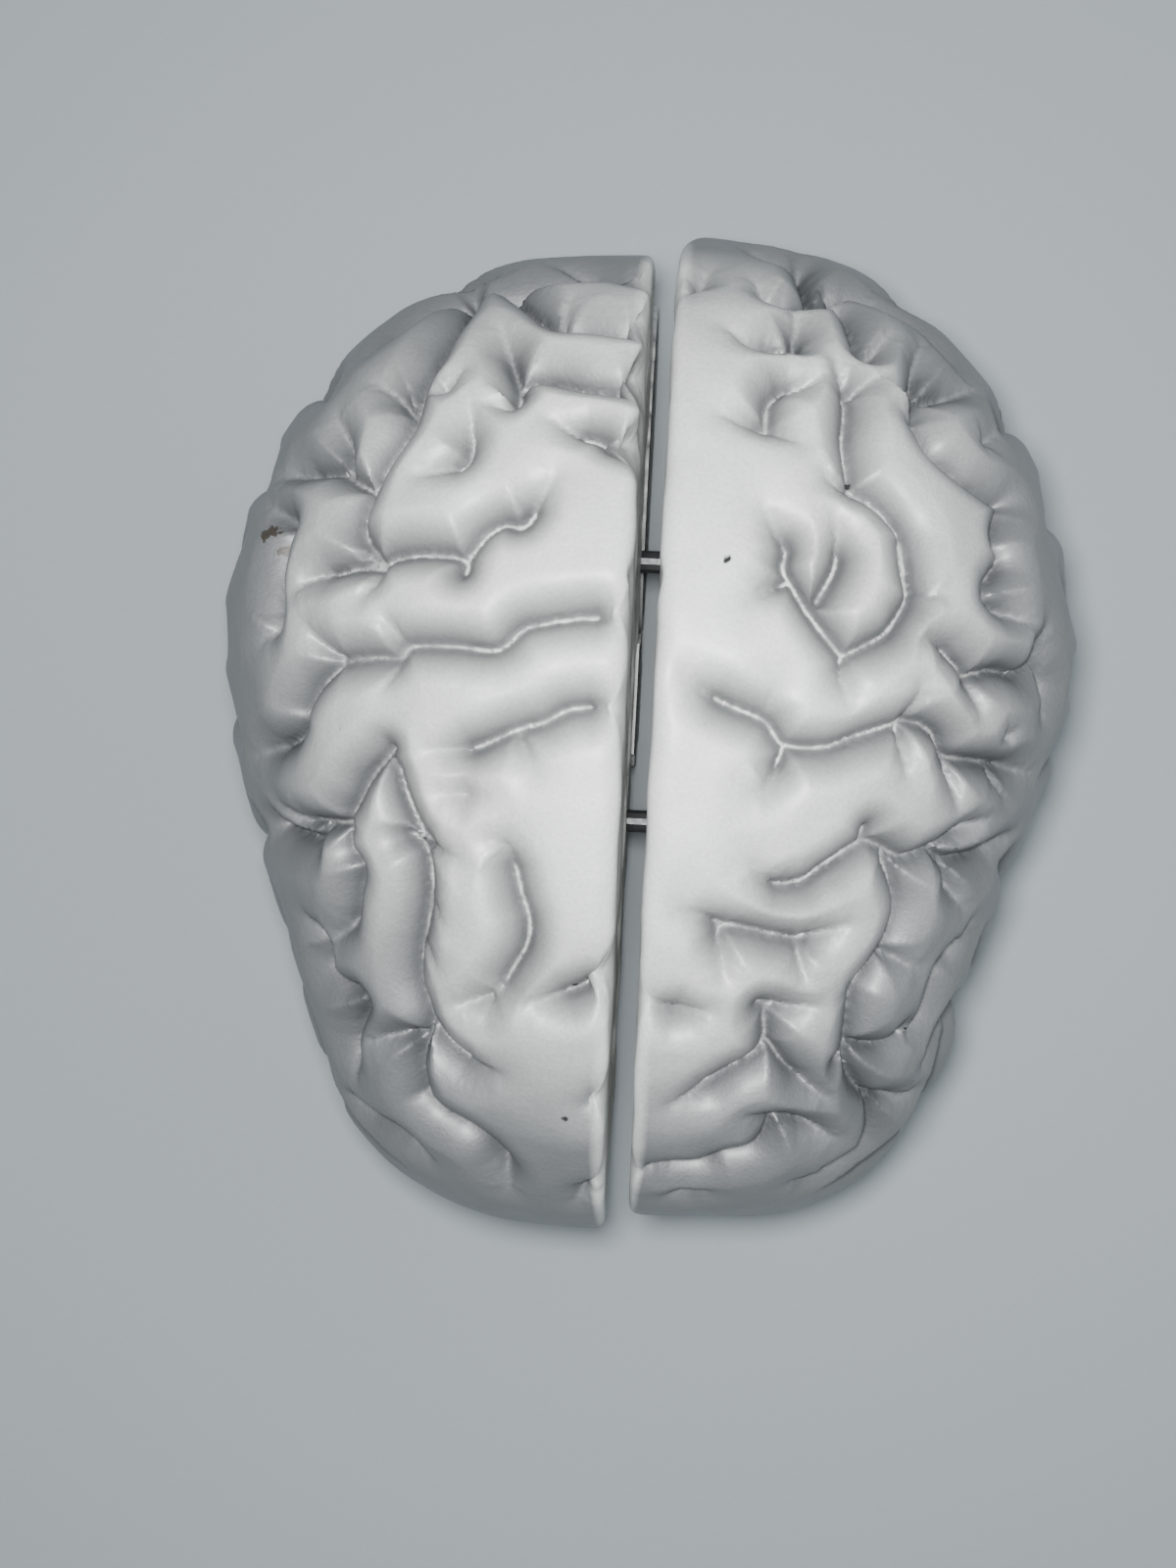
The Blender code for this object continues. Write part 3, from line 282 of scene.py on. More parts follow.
# Sulci on the upper side of each half, in plan marks
RIGHT_SULCI = (
    ((574, 266), (604, 269), (631, 273), (664, 283)),
    ((522, 283), (548, 302), (571, 318), (602, 320), (664, 329)),
    ((571, 318), (579, 299)),
    ((509, 328), (519, 353), (525, 379), (519, 401), (493, 404)),
    ((525, 379), (544, 371), (567, 372), (599, 379), (661, 388)),
    ((560, 420), (583, 428), (611, 434), (627, 446), (656, 455)),
    ((477, 407), (474, 430), (468, 457), (446, 468), (423, 479)),
    ((564, 481), (548, 500), (530, 525), (509, 524), (490, 533), (477, 548), (466, 564)),
    ((465, 576), (466, 564), (449, 557), (420, 556), (391, 560), (374, 567), (359, 560)),
    ((374, 567), (356, 538), (355, 519), (369, 484), (385, 455), (407, 423), (420, 381), (436, 355),
     (449, 332), (468, 307), (477, 288)),
    ((375, 571), (353, 570), (328, 575), (308, 584), (294, 597)),
    ((377, 575), (372, 591), (363, 603)),
    ((366, 489), (340, 474), (328, 468), (302, 471), (280, 481)),
    ((340, 470), (340, 449), (337, 420)),
    ((410, 404), (395, 388), (379, 383)),
    ((465, 372), (452, 382), (430, 395)),
    ((643, 624), (595, 625), (551, 631), (528, 638), (501, 660), (455, 657), (404, 657), (394, 670),
     (366, 670), (337, 674), (324, 681), (305, 700), (292, 725), (292, 738), (280, 757), (253, 773)),
    ((388, 630), (401, 655)),
    ((402, 665), (388, 697)),
    ((305, 642), (321, 665), (334, 674)),
    ((503, 658), (504, 678)),
    ((637, 722), (583, 724), (551, 738), (522, 746), (497, 757), (468, 767), (436, 767)),
    ((525, 754), (541, 786)),
    ((449, 811), (487, 813)),
    ((388, 749), (388, 773), (395, 805), (407, 837), (420, 859), (436, 872), (458, 878)),
    ((385, 767), (359, 796), (347, 818), (337, 834), (337, 847), (312, 848), (305, 862)),
    ((277, 827), (292, 843), (321, 847), (337, 845)),
    ((264, 834), (280, 856), (305, 864)),
    ((337, 856), (340, 875), (351, 890), (347, 911), (342, 946), (328, 965)),
    ((404, 856), (420, 875), (423, 920), (417, 958), (412, 977), (412, 1009), (423, 1045), (420, 1067),
     (412, 1092), (420, 1129)),
    ((426, 920), (442, 942)),
    ((420, 968), (436, 987)),
    ((414, 1067), (372, 1067)),
    ((423, 1045), (436, 1067), (455, 1086), (477, 1099), (503, 1102)),
    ((420, 1129), (442, 1150), (471, 1166), (493, 1182), (509, 1201), (516, 1220)),
    ((497, 860), (512, 869), (525, 923), (532, 946), (528, 978), (500, 1022), (492, 1041)),
    ((465, 1029), (492, 1025)),
    ((538, 1029), (579, 1022), (615, 1006), (627, 990)),
    ((599, 1134), (618, 1124)),
    ((589, 1233), (612, 1212)),
    ((304, 941), (318, 968), (321, 993), (337, 1016), (356, 1027), (345, 1057), (353, 1102)),
    ((347, 1124), (372, 1150), (407, 1172), (430, 1188)),
    ((270, 847), (281, 857), (304, 866)),
    ((267, 513), (282, 529), (276, 548), (268, 587), (268, 637), (259, 652)),
)
LEFT_SULCI = (
    ((702, 291), (723, 270)),
    ((765, 251), (810, 263), (824, 270)),
    ((772, 282), (786, 293), (810, 298), (833, 297), (860, 303), (873, 316), (881, 334), (887, 352)),
    ((887, 352), (909, 338)),
    ((832, 296), (829, 283), (820, 263)),
    ((835, 298), (846, 291), (863, 289), (881, 295), (909, 305)),
    ((747, 330), (768, 337), (796, 340), (831, 339)),
    ((814, 341), (817, 319), (810, 309)),
    ((800, 382), (821, 382), (842, 377)),
    ((740, 419), (765, 421), (786, 424), (803, 435), (817, 446)),
    ((786, 424), (788, 396), (796, 386)),
    ((856, 363), (870, 389), (872, 407), (870, 439), (874, 467), (877, 491)),
    ((870, 389), (884, 382), (902, 377)),
    ((846, 477), (853, 486), (877, 493)),
    ((877, 491), (898, 502), (916, 519), (930, 537), (937, 565), (942, 600)),
    ((944, 424), (961, 453), (986, 474), (1007, 491), (1035, 509)),
    ((926, 414), (944, 424), (942, 396), (945, 368), (943, 348)),
    ((951, 396), (972, 391), (996, 395)),
    ((1018, 441), (1009, 449)),
    ((1031, 511), (1034, 522), (1028, 548), (1036, 573), (1020, 605), (1060, 635)),
    ((782, 516), (796, 537), (807, 554), (805, 575), (821, 603), (842, 634), (868, 669)),
    ((807, 589), (786, 599), (768, 610)),
    ((868, 669), (891, 659), (916, 645), (930, 624), (940, 606), (935, 578), (931, 550)),
    ((868, 669), (865, 690), (868, 715)),
    ((940, 606), (961, 604)),
    ((854, 523), (861, 547), (861, 572), (842, 610)),
    ((947, 652), (965, 653), (989, 673), (1000, 690), (1007, 729)),
    ((1000, 694), (1021, 689), (1038, 687), (1059, 691), (1071, 665), (1074, 640)),
    ((1071, 665), (1077, 703), (1071, 735)),
    ((700, 690), (733, 715), (782, 736), (796, 753), (807, 764), (846, 767), (881, 757), (916, 746),
     (933, 739), (944, 718), (945, 704)),
    ((782, 736), (791, 708)),
    ((807, 764), (800, 781), (786, 806), (772, 811)),
    ((933, 739), (954, 743), (972, 757), (982, 778), (1017, 785), (1056, 792)),
    ((982, 778), (984, 824)),
    ((930, 746), (931, 789)),
    ((1026, 796), (1031, 813)),
    ((1031, 760), (1042, 750)),
    ((772, 887), (782, 901), (803, 910), (828, 906), (846, 895), (860, 887), (891, 867), (909, 869),
     (937, 883), (965, 874), (986, 859), (1014, 839)),
    ((891, 867), (895, 852)),
    ((968, 874), (982, 885), (1003, 883), (1021, 873), (1038, 855)),
    ((917, 882), (930, 920), (923, 955), (909, 983), (888, 1011), (884, 1022), (877, 1074), (867, 1092)),
    ((867, 1022), (888, 1018)),
    ((877, 1074), (898, 1078), (916, 1076), (933, 1060)),
    ((877, 1074), (881, 1103), (891, 1124), (902, 1131), (926, 1129), (938, 1118)),
    ((902, 1131), (903, 1148), (891, 1173), (863, 1194), (835, 1210), (814, 1213)),
    ((698, 934), (719, 941), (740, 952), (768, 957), (817, 967), (835, 964), (867, 948)),
    ((737, 955), (740, 997)),
    ((821, 969), (824, 1001)),
    ((658, 1025), (670, 1032), (698, 1039), (723, 1036)),
    ((782, 1036), (807, 1036), (835, 1031)),
    ((789, 1036), (789, 1074), (775, 1092), (747, 1108), (719, 1124), (688, 1134)),
    ((789, 1074), (807, 1096), (824, 1113), (846, 1125)),
    ((768, 1148), (796, 1155), (817, 1160), (854, 1167)),
    ((796, 1157), (789, 1173), (772, 1187), (740, 1195), (712, 1204), (649, 1204)),
    ((716, 1225), (684, 1229)),
    ((981, 889), (982, 906), (989, 927)),
    ((996, 945), (986, 969), (968, 994), (952, 1041), (932, 1074)),
    ((981, 1031), (973, 1040), (955, 1077), (950, 1086)),
    ((916, 980), (940, 990)),
)

# Sulci on the side, seen along X: (share of half length, share of height)
SYLVIAN_FISSURE = (
    (-0.56, 0.25), (-0.5, 0.36), (-0.38, 0.43), (-0.15, 0.47), (0.08, 0.52), (0.26, 0.59), (0.34, 0.66),
)
SIDE_SULCI = (
    ((-0.46, 0.2), (-0.34, 0.23), (-0.2, 0.31), (0.04, 0.34), (0.26, 0.42), (0.42, 0.5), (0.48, 0.6),
     (0.44, 0.68)),
    ((-0.36, 0.08), (-0.2, 0.14), (-0.02, 0.13), (0.14, 0.2), (0.34, 0.27), (0.5, 0.4)),
    ((-0.4, 0.33), (-0.34, 0.23)),
    ((-0.12, 0.31), (-0.06, 0.4)),
    ((0.16, 0.38), (0.2, 0.47)),
    ((0.0, 0.14), (0.06, 0.24), (0.02, 0.28)),
    ((0.26, 0.42), (0.34, 0.35), (0.34, 0.27)),
    ((-0.88, 0.62), (-0.74, 0.58), (-0.6, 0.62), (-0.46, 0.6), (-0.36, 0.64)),
    ((-0.42, 0.43), (-0.5, 0.52), (-0.46, 0.6)),
    ((-0.3, 0.46), (-0.28, 0.56), (-0.22, 0.62), (-0.22, 0.7)),
    ((-0.8, 0.37), (-0.7, 0.44), (-0.74, 0.58)),
    ((-0.7, 0.44), (-0.58, 0.47)),
    ((-0.14, 0.48), (-0.12, 0.6)),
    ((0.0, 0.51), (0.03, 0.6), (-0.04, 0.68)),
    ((0.16, 0.55), (0.14, 0.66)),
    ((0.5, 0.4), (0.6, 0.47), (0.58, 0.56), (0.66, 0.62), (0.62, 0.7)),
    ((0.58, 0.56), (0.7, 0.54), (0.84, 0.52), (0.94, 0.5)),
    ((0.66, 0.43), (0.78, 0.45), (0.88, 0.44)),
    ((0.72, 0.68), (0.82, 0.64), (0.9, 0.66)),
    ((0.84, 0.52), (0.9, 0.6)),
)

# Sulci on the under side, seen along Z: (share of half width, share of half length)
UNDER_SULCI = (
    ((0.13, -0.86), (0.14, -0.66), (0.15, -0.46)),
    ((0.36, -0.82), (0.33, -0.68), (0.36, -0.54)),
    ((0.22, -0.69), (0.33, -0.68), (0.52, -0.66)),
    ((0.36, -0.4), (0.4, -0.22), (0.36, -0.02), (0.4, 0.16), (0.48, 0.3)),
    ((0.62, -0.36), (0.58, -0.14), (0.62, 0.06), (0.6, 0.24)),
    ((0.4, -0.22), (0.49, -0.18)),
    ((0.62, 0.06), (0.72, 0.12)),
    ((0.18, 0.82), (0.4, 0.76), (0.55, 0.64)),
)

# Sulci on the two poles, seen along Y: (share of half width, share of height)
FRONTAL_POLE_SULCI = (
    ((0.12, 0.46), (0.28, 0.49), (0.46, 0.45), (0.6, 0.48)),
    ((0.28, 0.49), (0.3, 0.4)),
    ((0.46, 0.45), (0.5, 0.38)),
)
OCCIPITAL_POLE_SULCI = (
    ((0.12, 0.5), (0.28, 0.53), (0.44, 0.49)),
    ((0.28, 0.53), (0.26, 0.44)),
    ((0.4, 0.43), (0.54, 0.45)),
)

# Sulci on the medial face, seen along X: (share of half length, share of height)
MEDIAL_SULCI = (
    ((-0.44, 0.47), (-0.6, 0.56), (-0.6, 0.68), (-0.46, 0.79), (-0.2, 0.85), (0.08, 0.85), (0.22, 0.88),
     (0.28, 0.96)),
    ((-0.34, 0.55), (-0.42, 0.62), (-0.33, 0.7), (-0.1, 0.74), (0.12, 0.73), (0.26, 0.66), (0.28, 0.57)),
    ((0.4, 0.55), (0.5, 0.7), (0.6, 0.86)),
    ((0.36, 0.5), (0.58, 0.49), (0.86, 0.53)),
    ((-0.9, 0.56), (-0.78, 0.62), (-0.72, 0.74)),
    ((0.22, 0.8), (0.36, 0.76), (0.44, 0.8)),
    ((0.66, 0.66), (0.8, 0.64)),
)
VENTRICLE_CENTRE = (-0.04, 0.615)
VENTRICLE_RADII = (0.26, 0.062)
THALAMUS_CENTRE = (0.04, 0.5)
THALAMUS_RADII = (0.17, 0.055)
VENTRICLE_WALL = 2.6
THALAMUS_RING_WIDTH = 0.18
THALAMUS_RING_SHARE = 0.5
THALAMUS_RING_PAINT = 1.3

HALF_LENGTH = BRAIN_LENGTH / 2
FACE_X = HALVES_GAP / 2


def linked(name, data):
    """A new object of the scene."""
    piece = bpy.data.objects.new(name, data)
    bpy.context.scene.collection.objects.link(piece)
    return piece


def add_object(name, points, faces):
    """An object from corner points in world space and faces that list their corners."""
    mesh = bpy.data.meshes.new(name)
    mesh.from_pydata([tuple(point) for point in points], [], [tuple(face) for face in faces])
    mesh.validate()
    shape = bmesh.new()
    shape.from_mesh(mesh)
    bmesh.ops.recalc_face_normals(shape, faces=shape.faces)
    shape.to_mesh(mesh)
    shape.free()
    return linked(name, mesh)


def smooth_curve(marks, steps=12):
    """Points on a Catmull-Rom curve through the marks."""
    marks = np.asarray(marks, float)
    padded = np.vstack((2 * marks[0] - marks[1], marks, 2 * marks[-1] - marks[-2]))
    curve = []
    for before, start, end, after in zip(padded, padded[1:], padded[2:], padded[3:]):
        for step in range(steps):
            t = step / steps
            curve.append(0.5 * (2 * start + (end - before) * t
                                + (2 * before - 5 * start + 4 * end - after) * t ** 2
                                + (3 * start - before - 3 * end + after) * t ** 3))
    curve.append(marks[-1])
    return np.array(curve)


def tube(rings):
    """A closed skin over rings of equally many points, with a flat cap at each end."""
    count = len(rings[0])
    points = [point for ring in rings for point in ring]
    faces = [tuple(range(count)), tuple(range(len(points) - count, len(points)))]
    for low in range(0, len(points) - count, count):
        for step in range(count):
            after = (step + 1) % count
            faces.append((low + step, low + after, low + count + after, low + count + step))
    return points, faces


def hemisphere_sections(outline, rear_corner):
    """Rings of the smooth hemisphere, front to back, in (across, along, up)."""
    plan = smooth_curve(outline) * (HALF_WIDTH, HALF_LENGTH)
    over = smooth_curve(TOP_PROFILE) * (HALF_LENGTH, BRAIN_HEIGHT)
    under = smooth_curve(UNDER_PROFILE) * (HALF_LENGTH, BRAIN_HEIGHT)
    stations = 44
    corners = 22
    arc_steps = 4
    pole_stop = 0.999
    pole_bluntness = 6
    widest_share = 0.29
    roundness = 2.25
    least_width = 1.5 * FACE_X
    edge_of_width = 0.17
    edge_of_height = 0.2
    front, back = plan[0, 1], plan[-1, 1]
    lowest, highest = plan[:, 1].min(), plan[:, 1].max()
    order = np.argsort(plan[:, 1])
    rings = []
    for station in range(stations + 1):
        share = math.sin(-math.pi / 2 + math.pi * station / stations) * pole_stop
        along = share * (highest - lowest) / 2 + (highest + lowest) / 2
        width = float(np.interp(along, plan[order, 1], plan[order, 0]))
        if along < front or along > back:
            width = min(width, HALF_WIDTH * (1 - abs(share) ** pole_bluntness))
        corner_radius = rear_corner if share > 0 else FRONTAL_CORNER_RADIUS
        left = min((1 - abs(share)) * (highest - lowest) / 2, corner_radius)
        inner = FACE_X + corner_radius - math.sqrt(
            corner_radius ** 2 - (corner_radius - left) ** 2)
        width = max(width, inner + least_width)
        level = share * over[-1, 0]
        top = float(np.interp(level, over[:, 0], over[:, 1]))
        bottom = float(np.interp(level, under[:, 0], under[:, 1]))
        middle = bottom + widest_share * (top - bottom)
        edge = min(MEDIAL_EDGE_RADIUS, edge_of_width * (width - inner),
                   edge_of_height * (top - bottom))
        arc = [(edge * (1 - math.cos(bend)), edge * (1 - math.sin(bend)))
               for bend in (math.pi / 2 * step / arc_steps for step in range(arc_steps + 1))]
        ring = [(inner + away, along, top - drop) for away, drop in arc]
        for corner in range(1, corners):
            angle = math.pi * corner / corners
            reach = math.sin(angle) ** (2 / roundness)
            lift = abs(math.cos(angle)) ** (2 / roundness)
            rise = (top - middle) * lift if angle < math.pi / 2 else (bottom - middle) * lift
            ring.append((inner + (width - inner) * reach, along, middle + rise))
        ring += [(inner + away, along, bottom + drop) for away, drop in reversed(arc)]
        rings.append(ring)
    return rings


def temporal_sections():
    """Rings of the temporal lobe, from its pole backwards, in (across, along, up)."""
    corners = 28
    rings = []
    for share, across, level, size in smooth_curve(TEMPORAL_LOBE, PLAN_CURVE_STEPS):
        clear_of_stem = PONS_RADIUS + TEMPORAL_STEM_ROOM + size * TEMPORAL_WIDTH / 2
        centre = (max(across * HALF_WIDTH, clear_of_stem), share * HALF_LENGTH,
                  level * TEMPORAL_HEIGHT - TEMPORAL_REST_CUT)
        ring = []
        for angle in (math.tau * corner / corners for corner in range(corners)):
            ring.append((centre[0] + size * TEMPORAL_WIDTH / 2 * math.cos(angle), centre[1],
                         centre[2] + size * TEMPORAL_HEIGHT / 2 * math.sin(angle)))
        rings.append(ring)
    return rings


def fused_skin(shells, grain):
    """One even skin of small quads over several closed shells that run into each other."""
    points, faces = [], []
    for shell_points, shell_faces in shells:
        start = len(points)
        points += list(shell_points)
        faces += [tuple(start + corner for corner in face) for face in shell_faces]
    rough = add_object("rough", points, faces)
    skin = rough.modifiers.new("Skin", "REMESH")
    skin.mode = "VOXEL"
    skin.voxel_size = grain
    mesh = settled(rough)
    points = np.empty(len(mesh.vertices) * 3)
    mesh.vertices.foreach_get("co", points)
    faces = [tuple(face.vertices) for face in mesh.polygons]
    bpy.data.objects.remove(rough, do_unlink=True)
    return points.reshape(-1, 3), faces


def relax(points, faces, rounds):
    """Evens out a skin by drawing each point to the middle of its neighbours."""
    quads = np.array(faces)
    edges = np.vstack((quads[:, [0, 1]], quads[:, [1, 2]], quads[:, [2, 3]], quads[:, [3, 0]]))
    degree = np.bincount(edges.ravel(), minlength=len(points))[:, None]
    for _ in range(rounds):
        total = np.zeros_like(points)
        np.add.at(total, edges[:, 0], points[edges[:, 1]])
        np.add.at(total, edges[:, 1], points[edges[:, 0]])
        points = (1 - RELAX_SHARE) * points + RELAX_SHARE * total / degree
        points[:, 0] = np.maximum(points[:, 0], FACE_X)
    return points


def plan_mark_place(mark, side):
    """Place of a plan mark at the height of the outline, in (across, along, up)."""
    unit = BRAIN_LENGTH / PLAN_LENGTH_MARKS
    right, up = mark[0] - PLAN_CENTRE[0], PLAN_CENTRE[1] - mark[1]
    across = right * math.cos(PLAN_LEAN) - up * math.sin(PLAN_LEAN)
    along = right * math.sin(PLAN_LEAN) + up * math.cos(PLAN_LEAN)
    return Vector((side * across * unit, along * unit, OUTLINE_HEIGHT))


def cast(skin, start, target):
    """Where the line from start through target first meets the skin, or the nearest point."""
    hit = skin.ray_cast(start, (target - start).normalized())[0]
    return hit if hit else skin.find_nearest(target)[0]


def groove_routes(skin, side):
    """Every groove as points on the skin, with its depth and its reach.

    Those with marks in shares are drawn as seen from far off along way.
    """
    eye = Vector((side * EYE_ACROSS, 0.0, EYE_HEIGHT))
    routes = []
    for marks in RIGHT_SULCI if side < 0 else LEFT_SULCI:
        line = [cast(skin, eye, plan_mark_place(mark, side))
                for mark in smooth_curve(marks, PLAN_CURVE_STEPS)]
        routes.append((line, SULCUS_DEPTH, SULCUS_REACH))
    wide, long, tall = (HALF_WIDTH, 0, 0), (0, HALF_LENGTH, 0), (0, 0, BRAIN_HEIGHT)
    usual = (SULCUS_DEPTH, SULCUS_REACH)
    for way, first, second, base, sulci, depth, reach in (
            ((1, 0, 0), long, tall, (0, 0, 0), (SYLVIAN_FISSURE,), SYLVIAN_DEPTH, SYLVIAN_REACH),
            ((1, 0, 0), long, tall, (0, 0, 0), SIDE_SULCI, *usual),
            ((0, 0, -1), wide, long, tall, UNDER_SULCI, *usual),
            ((0, -1, 0), wide, tall, (0, 0, 0), FRONTAL_POLE_SULCI, *usual),
            ((0, 1, 0), wide, tall, (0, 0, 0), OCCIPITAL_POLE_SULCI, *usual),
            ((-1, 0, 0), long, tall, (FACE_X, 0, 0), MEDIAL_SULCI, MEDIAL_DEPTH, MEDIAL_REACH)):
        start = EYE_HEIGHT * Vector(way)
        for marks in sulci:
            curve = smooth_curve(marks, SIDE_CURVE_STEPS) @ np.array((first, second)) + base
            targets = [Vector(place) for place in curve]
            routes.append(([cast(skin, target + start, target) for target in targets],
                           depth, reach))
    return routes


def spaced(line, spacing):
    """A line of points redrawn with even spacing, with each point's way from the ends."""
    line = np.array([tuple(point) for point in line])
    steps = np.linalg.norm(np.diff(line, axis=0), axis=1)
    way = np.concatenate(([0.0], np.cumsum(steps)))
    count = max(2, int(way[-1] / spacing) + 1)
    places = np.linspace(0.0, way[-1], count)
    points = np.column_stack([np.interp(places, way, line[:, axis]) for axis in range(3)])
    return points, places, way[-1] - places


def groove_lines(routes):
    """Each groove as evenly spaced points, with the depth at each point and its reach.

    A groove grows shallower towards an end that meets no other groove.
    """
    lines = [spaced(line, SULCUS_SPACING) for line, _, _ in routes]
    everything = np.vstack([points for points, _, _ in lines])
    owner = np.concatenate([[index] * len(points) for index, (points, _, _) in enumerate(lines)])
    tree = KDTree(len(everything))
    for index, point in enumerate(everything):
        tree.insert(point, index)
    tree.balance()
    grooves = []
    for index, (points, from_start, from_end) in enumerate(lines):
        depth = np.full(len(points), routes[index][1])
        for end, way in ((points[0], from_start), (points[-1], from_end)):
            near = tree.find_range(end, SULCUS_JOIN)
            if all(owner[hit[1]] == index for hit in near):
                taper = SULCUS_END_SHARE + (1 - SULCUS_END_SHARE) * np.clip(
                    way / SULCUS_END_TAPER, 0, 1)
                depth = np.minimum(depth, routes[index][1] * taper)
        grooves.append((points, depth, routes[index][2]))
    return grooves


def groove_distances(points, line, reach):
    """The points within reach of a groove, their distance, and its nearest point to each."""
    low, high = line.min(axis=0) - reach, line.max(axis=0) + reach
    near = np.flatnonzero(((points > low) & (points < high)).all(axis=1))
    away = (np.sum(points[near] ** 2, axis=1)[:, None] + np.sum(line ** 2, axis=1)
            - 2 * points[near] @ line.T)
    nearest = away.argmin(axis=1)
    distance = np.sqrt(np.maximum(away[np.arange(len(near)), nearest], 0))
    return near, distance, nearest


def groove_depth(distance, depth, reach):
    """How far the skin sinks: gyri round over to a groove with a narrow floor."""
    near = 1 - np.clip((distance - SULCUS_FLOOR) / (reach - SULCUS_FLOOR), 0, 1)
    return depth * 0.5 * (1 - np.sqrt(1 - near ** 2) + near ** 2)


def skin_normals(points, faces):
    """Unit normals at the points of a skin of quads."""
    faces = np.array(faces)
    quads = points[faces]
    across = np.cross(quads[:, 2] - quads[:, 0], quads[:, 3] - quads[:, 1])
    total = np.zeros_like(points)
    for corner in range(4):
        np.add.at(total, faces[:, corner], across)
    return total / np.maximum(np.linalg.norm(total, axis=1), 1e-12)[:, None]


def to_side(points, side):
    """Moves points from (across, along, up) to the half's own side of X = 0."""
    return np.asarray(points, float) * (side, 1.0, 1.0)


def cerebellum_envelope(swing, turn, grow):
    """A point of the smooth cerebellum: turn runs round the X axis, from the front."""
    height = (CEREBELLUM_TOP + CEREBELLUM_REST_CUT) / 2
    radii = (CEREBELLUM_WIDTH + grow, CEREBELLUM_LENGTH / 2 + grow, height + grow)
    centre_level = height - CEREBELLUM_REST_CUT
    return (radii[0] * math.sin(swing),
            CEREBELLUM_CENTRE_Y - radii[1] * math.cos(swing) * math.cos(turn),
            centre_level + radii[2] * math.cos(swing) * math.sin(turn))


def cerebellum_cutter(side):
    """The space that a half cerebellum sits in, open to the back so that it slides out."""
    steps = 36
    ways = 10
    slide = Vector((0.0, BRAIN_LENGTH, 0.0))
    points = []
    for way in range(ways + 1):
        for step in range(steps):
            turn = math.tau * step / steps
            point = Vector(cerebellum_envelope(CEREBELLUM_TIP * way / ways, turn, CLEARANCE))
            if way == 0:
                point.x = -FACE_X
            points.append(to_side(point, side))
            points.append(to_side(point + slide, side))
    return hull_cutter(points)


def hull_cutter(points):
    """A convex cutter around the points."""
    mesh = bpy.data.meshes.new("cutter")
    shape = bmesh.new()
    for point in points:
        shape.verts.new(tuple(point))
    result = bmesh.ops.convex_hull(shape, input=shape.verts)
    bmesh.ops.delete(shape, geom=list({*result["geom_interior"], *result["geom_unused"]}),
                     context="VERTS")
    bmesh.ops.recalc_face_normals(shape, faces=shape.faces)
    shape.to_mesh(mesh)
    shape.free()
    return as_cutter(linked("cutter", mesh))


def as_cutter(piece):
    """The piece, hidden from the camera."""
    piece.hide_render = True
    piece.display_type = "WIRE"
    return piece


def brainstem_outline(radius, deep, level):
    """Half an oval at one level, flat at the medial face."""
    steps = 12
    ring = [(FACE_X, BRAINSTEM_CENTRE_Y - deep, level)]
    for step in range(1, steps):
        angle = math.pi * step / steps
        ring.append((FACE_X + (radius - FACE_X) * math.sin(angle),
                     BRAINSTEM_CENTRE_Y - deep * math.cos(angle), level))
    ring.append((FACE_X, BRAINSTEM_CENTRE_Y + deep, level))
    return ring


def brainstem_cutter(side):
    """The pocket for the top of a half brain stem, open downwards so that it slides out."""
    points = []
    for level in (BRAINSTEM_SEAT + CLEARANCE, BRAINSTEM_SEAT - BRAINSTEM_POCKET_DEPTH):
        for x, y, z in brainstem_outline(MIDBRAIN_RADIUS + CLEARANCE,
                                         STEM_FLATNESS * MIDBRAIN_RADIUS + CLEARANCE, level):
            points.append(to_side((x if x > FACE_X else -FACE_X, y, z), side))
    return hull_cutter(points)


def round_cutter(start, end, radius):
    """A plain round rod, used as a cutter."""
    start, end = Vector(start), Vector(end)
    way = (end - start).normalized()
    across = way.orthogonal().normalized()
    other = way.cross(across)
    sides = 24
    rings = [[end_point + (across * math.cos(turn) + other * math.sin(turn)) * radius
              for turn in (math.tau * step / sides for step in range(sides))]
             for end_point in (start, end)]
    return as_cutter(add_object("cutter", *tube(rings)))


def table_cutter():
    """Everything below the level that the model rests on."""
    wide, deep = BRAIN_LENGTH, BRAIN_HEIGHT
    corners = [(x, y, z) for x in (-wide, wide) for y in (-wide, wide) for z in (-deep, 0.0)]
    return hull_cutter(corners)


def peg_hole(start, end):
    """The hole for a peg, with room all round it and at its ends."""
    start, end = Vector(start), Vector(end)
    way = (end - start).normalized() * CLEARANCE
    return round_cutter(start - way, end + way, PEG_RADIUS + CLEARANCE)


def dent_values(points, scale, seed):
    """Smooth noise from 0 to 1 at each point, scale being the size of its waves."""
    shift = Vector((seed, 0.0, 0.0))
    return np.array([0.5 + 0.5 * noise.noise(Vector(point) / scale + shift)
                     for point in points])


def spot_values(points, places):
    """1 at the middle of the nearest spot, falling to 0 at its radius."""
    value = np.zeros(len(points))
    for place, radius in places:
        away = np.linalg.norm(points - np.array(place), axis=1)
        value = np.maximum(value, np.clip(1 - away / radius, 0, 1))
    return value


def cast_object(name, points, faces, layers):
    """A casting from points and faces, with its paint layers as values on its points."""
    piece = add_object(name, points, faces)
    for layer, values in layers.items():
        store = piece.data.attributes.new(layer, "FLOAT", "POINT")
        store.data.foreach_set("value", np.asarray(values, np.float32))
    piece.data.shade_smooth()
    return piece


def settled(piece):
    """Turns a piece's modifiers into its mesh."""
    evaluated = piece.evaluated_get(bpy.context.evaluated_depsgraph_get())
    mesh = bpy.data.meshes.new_from_object(evaluated)
    piece.modifiers.clear()
    piece.data = mesh
    return mesh


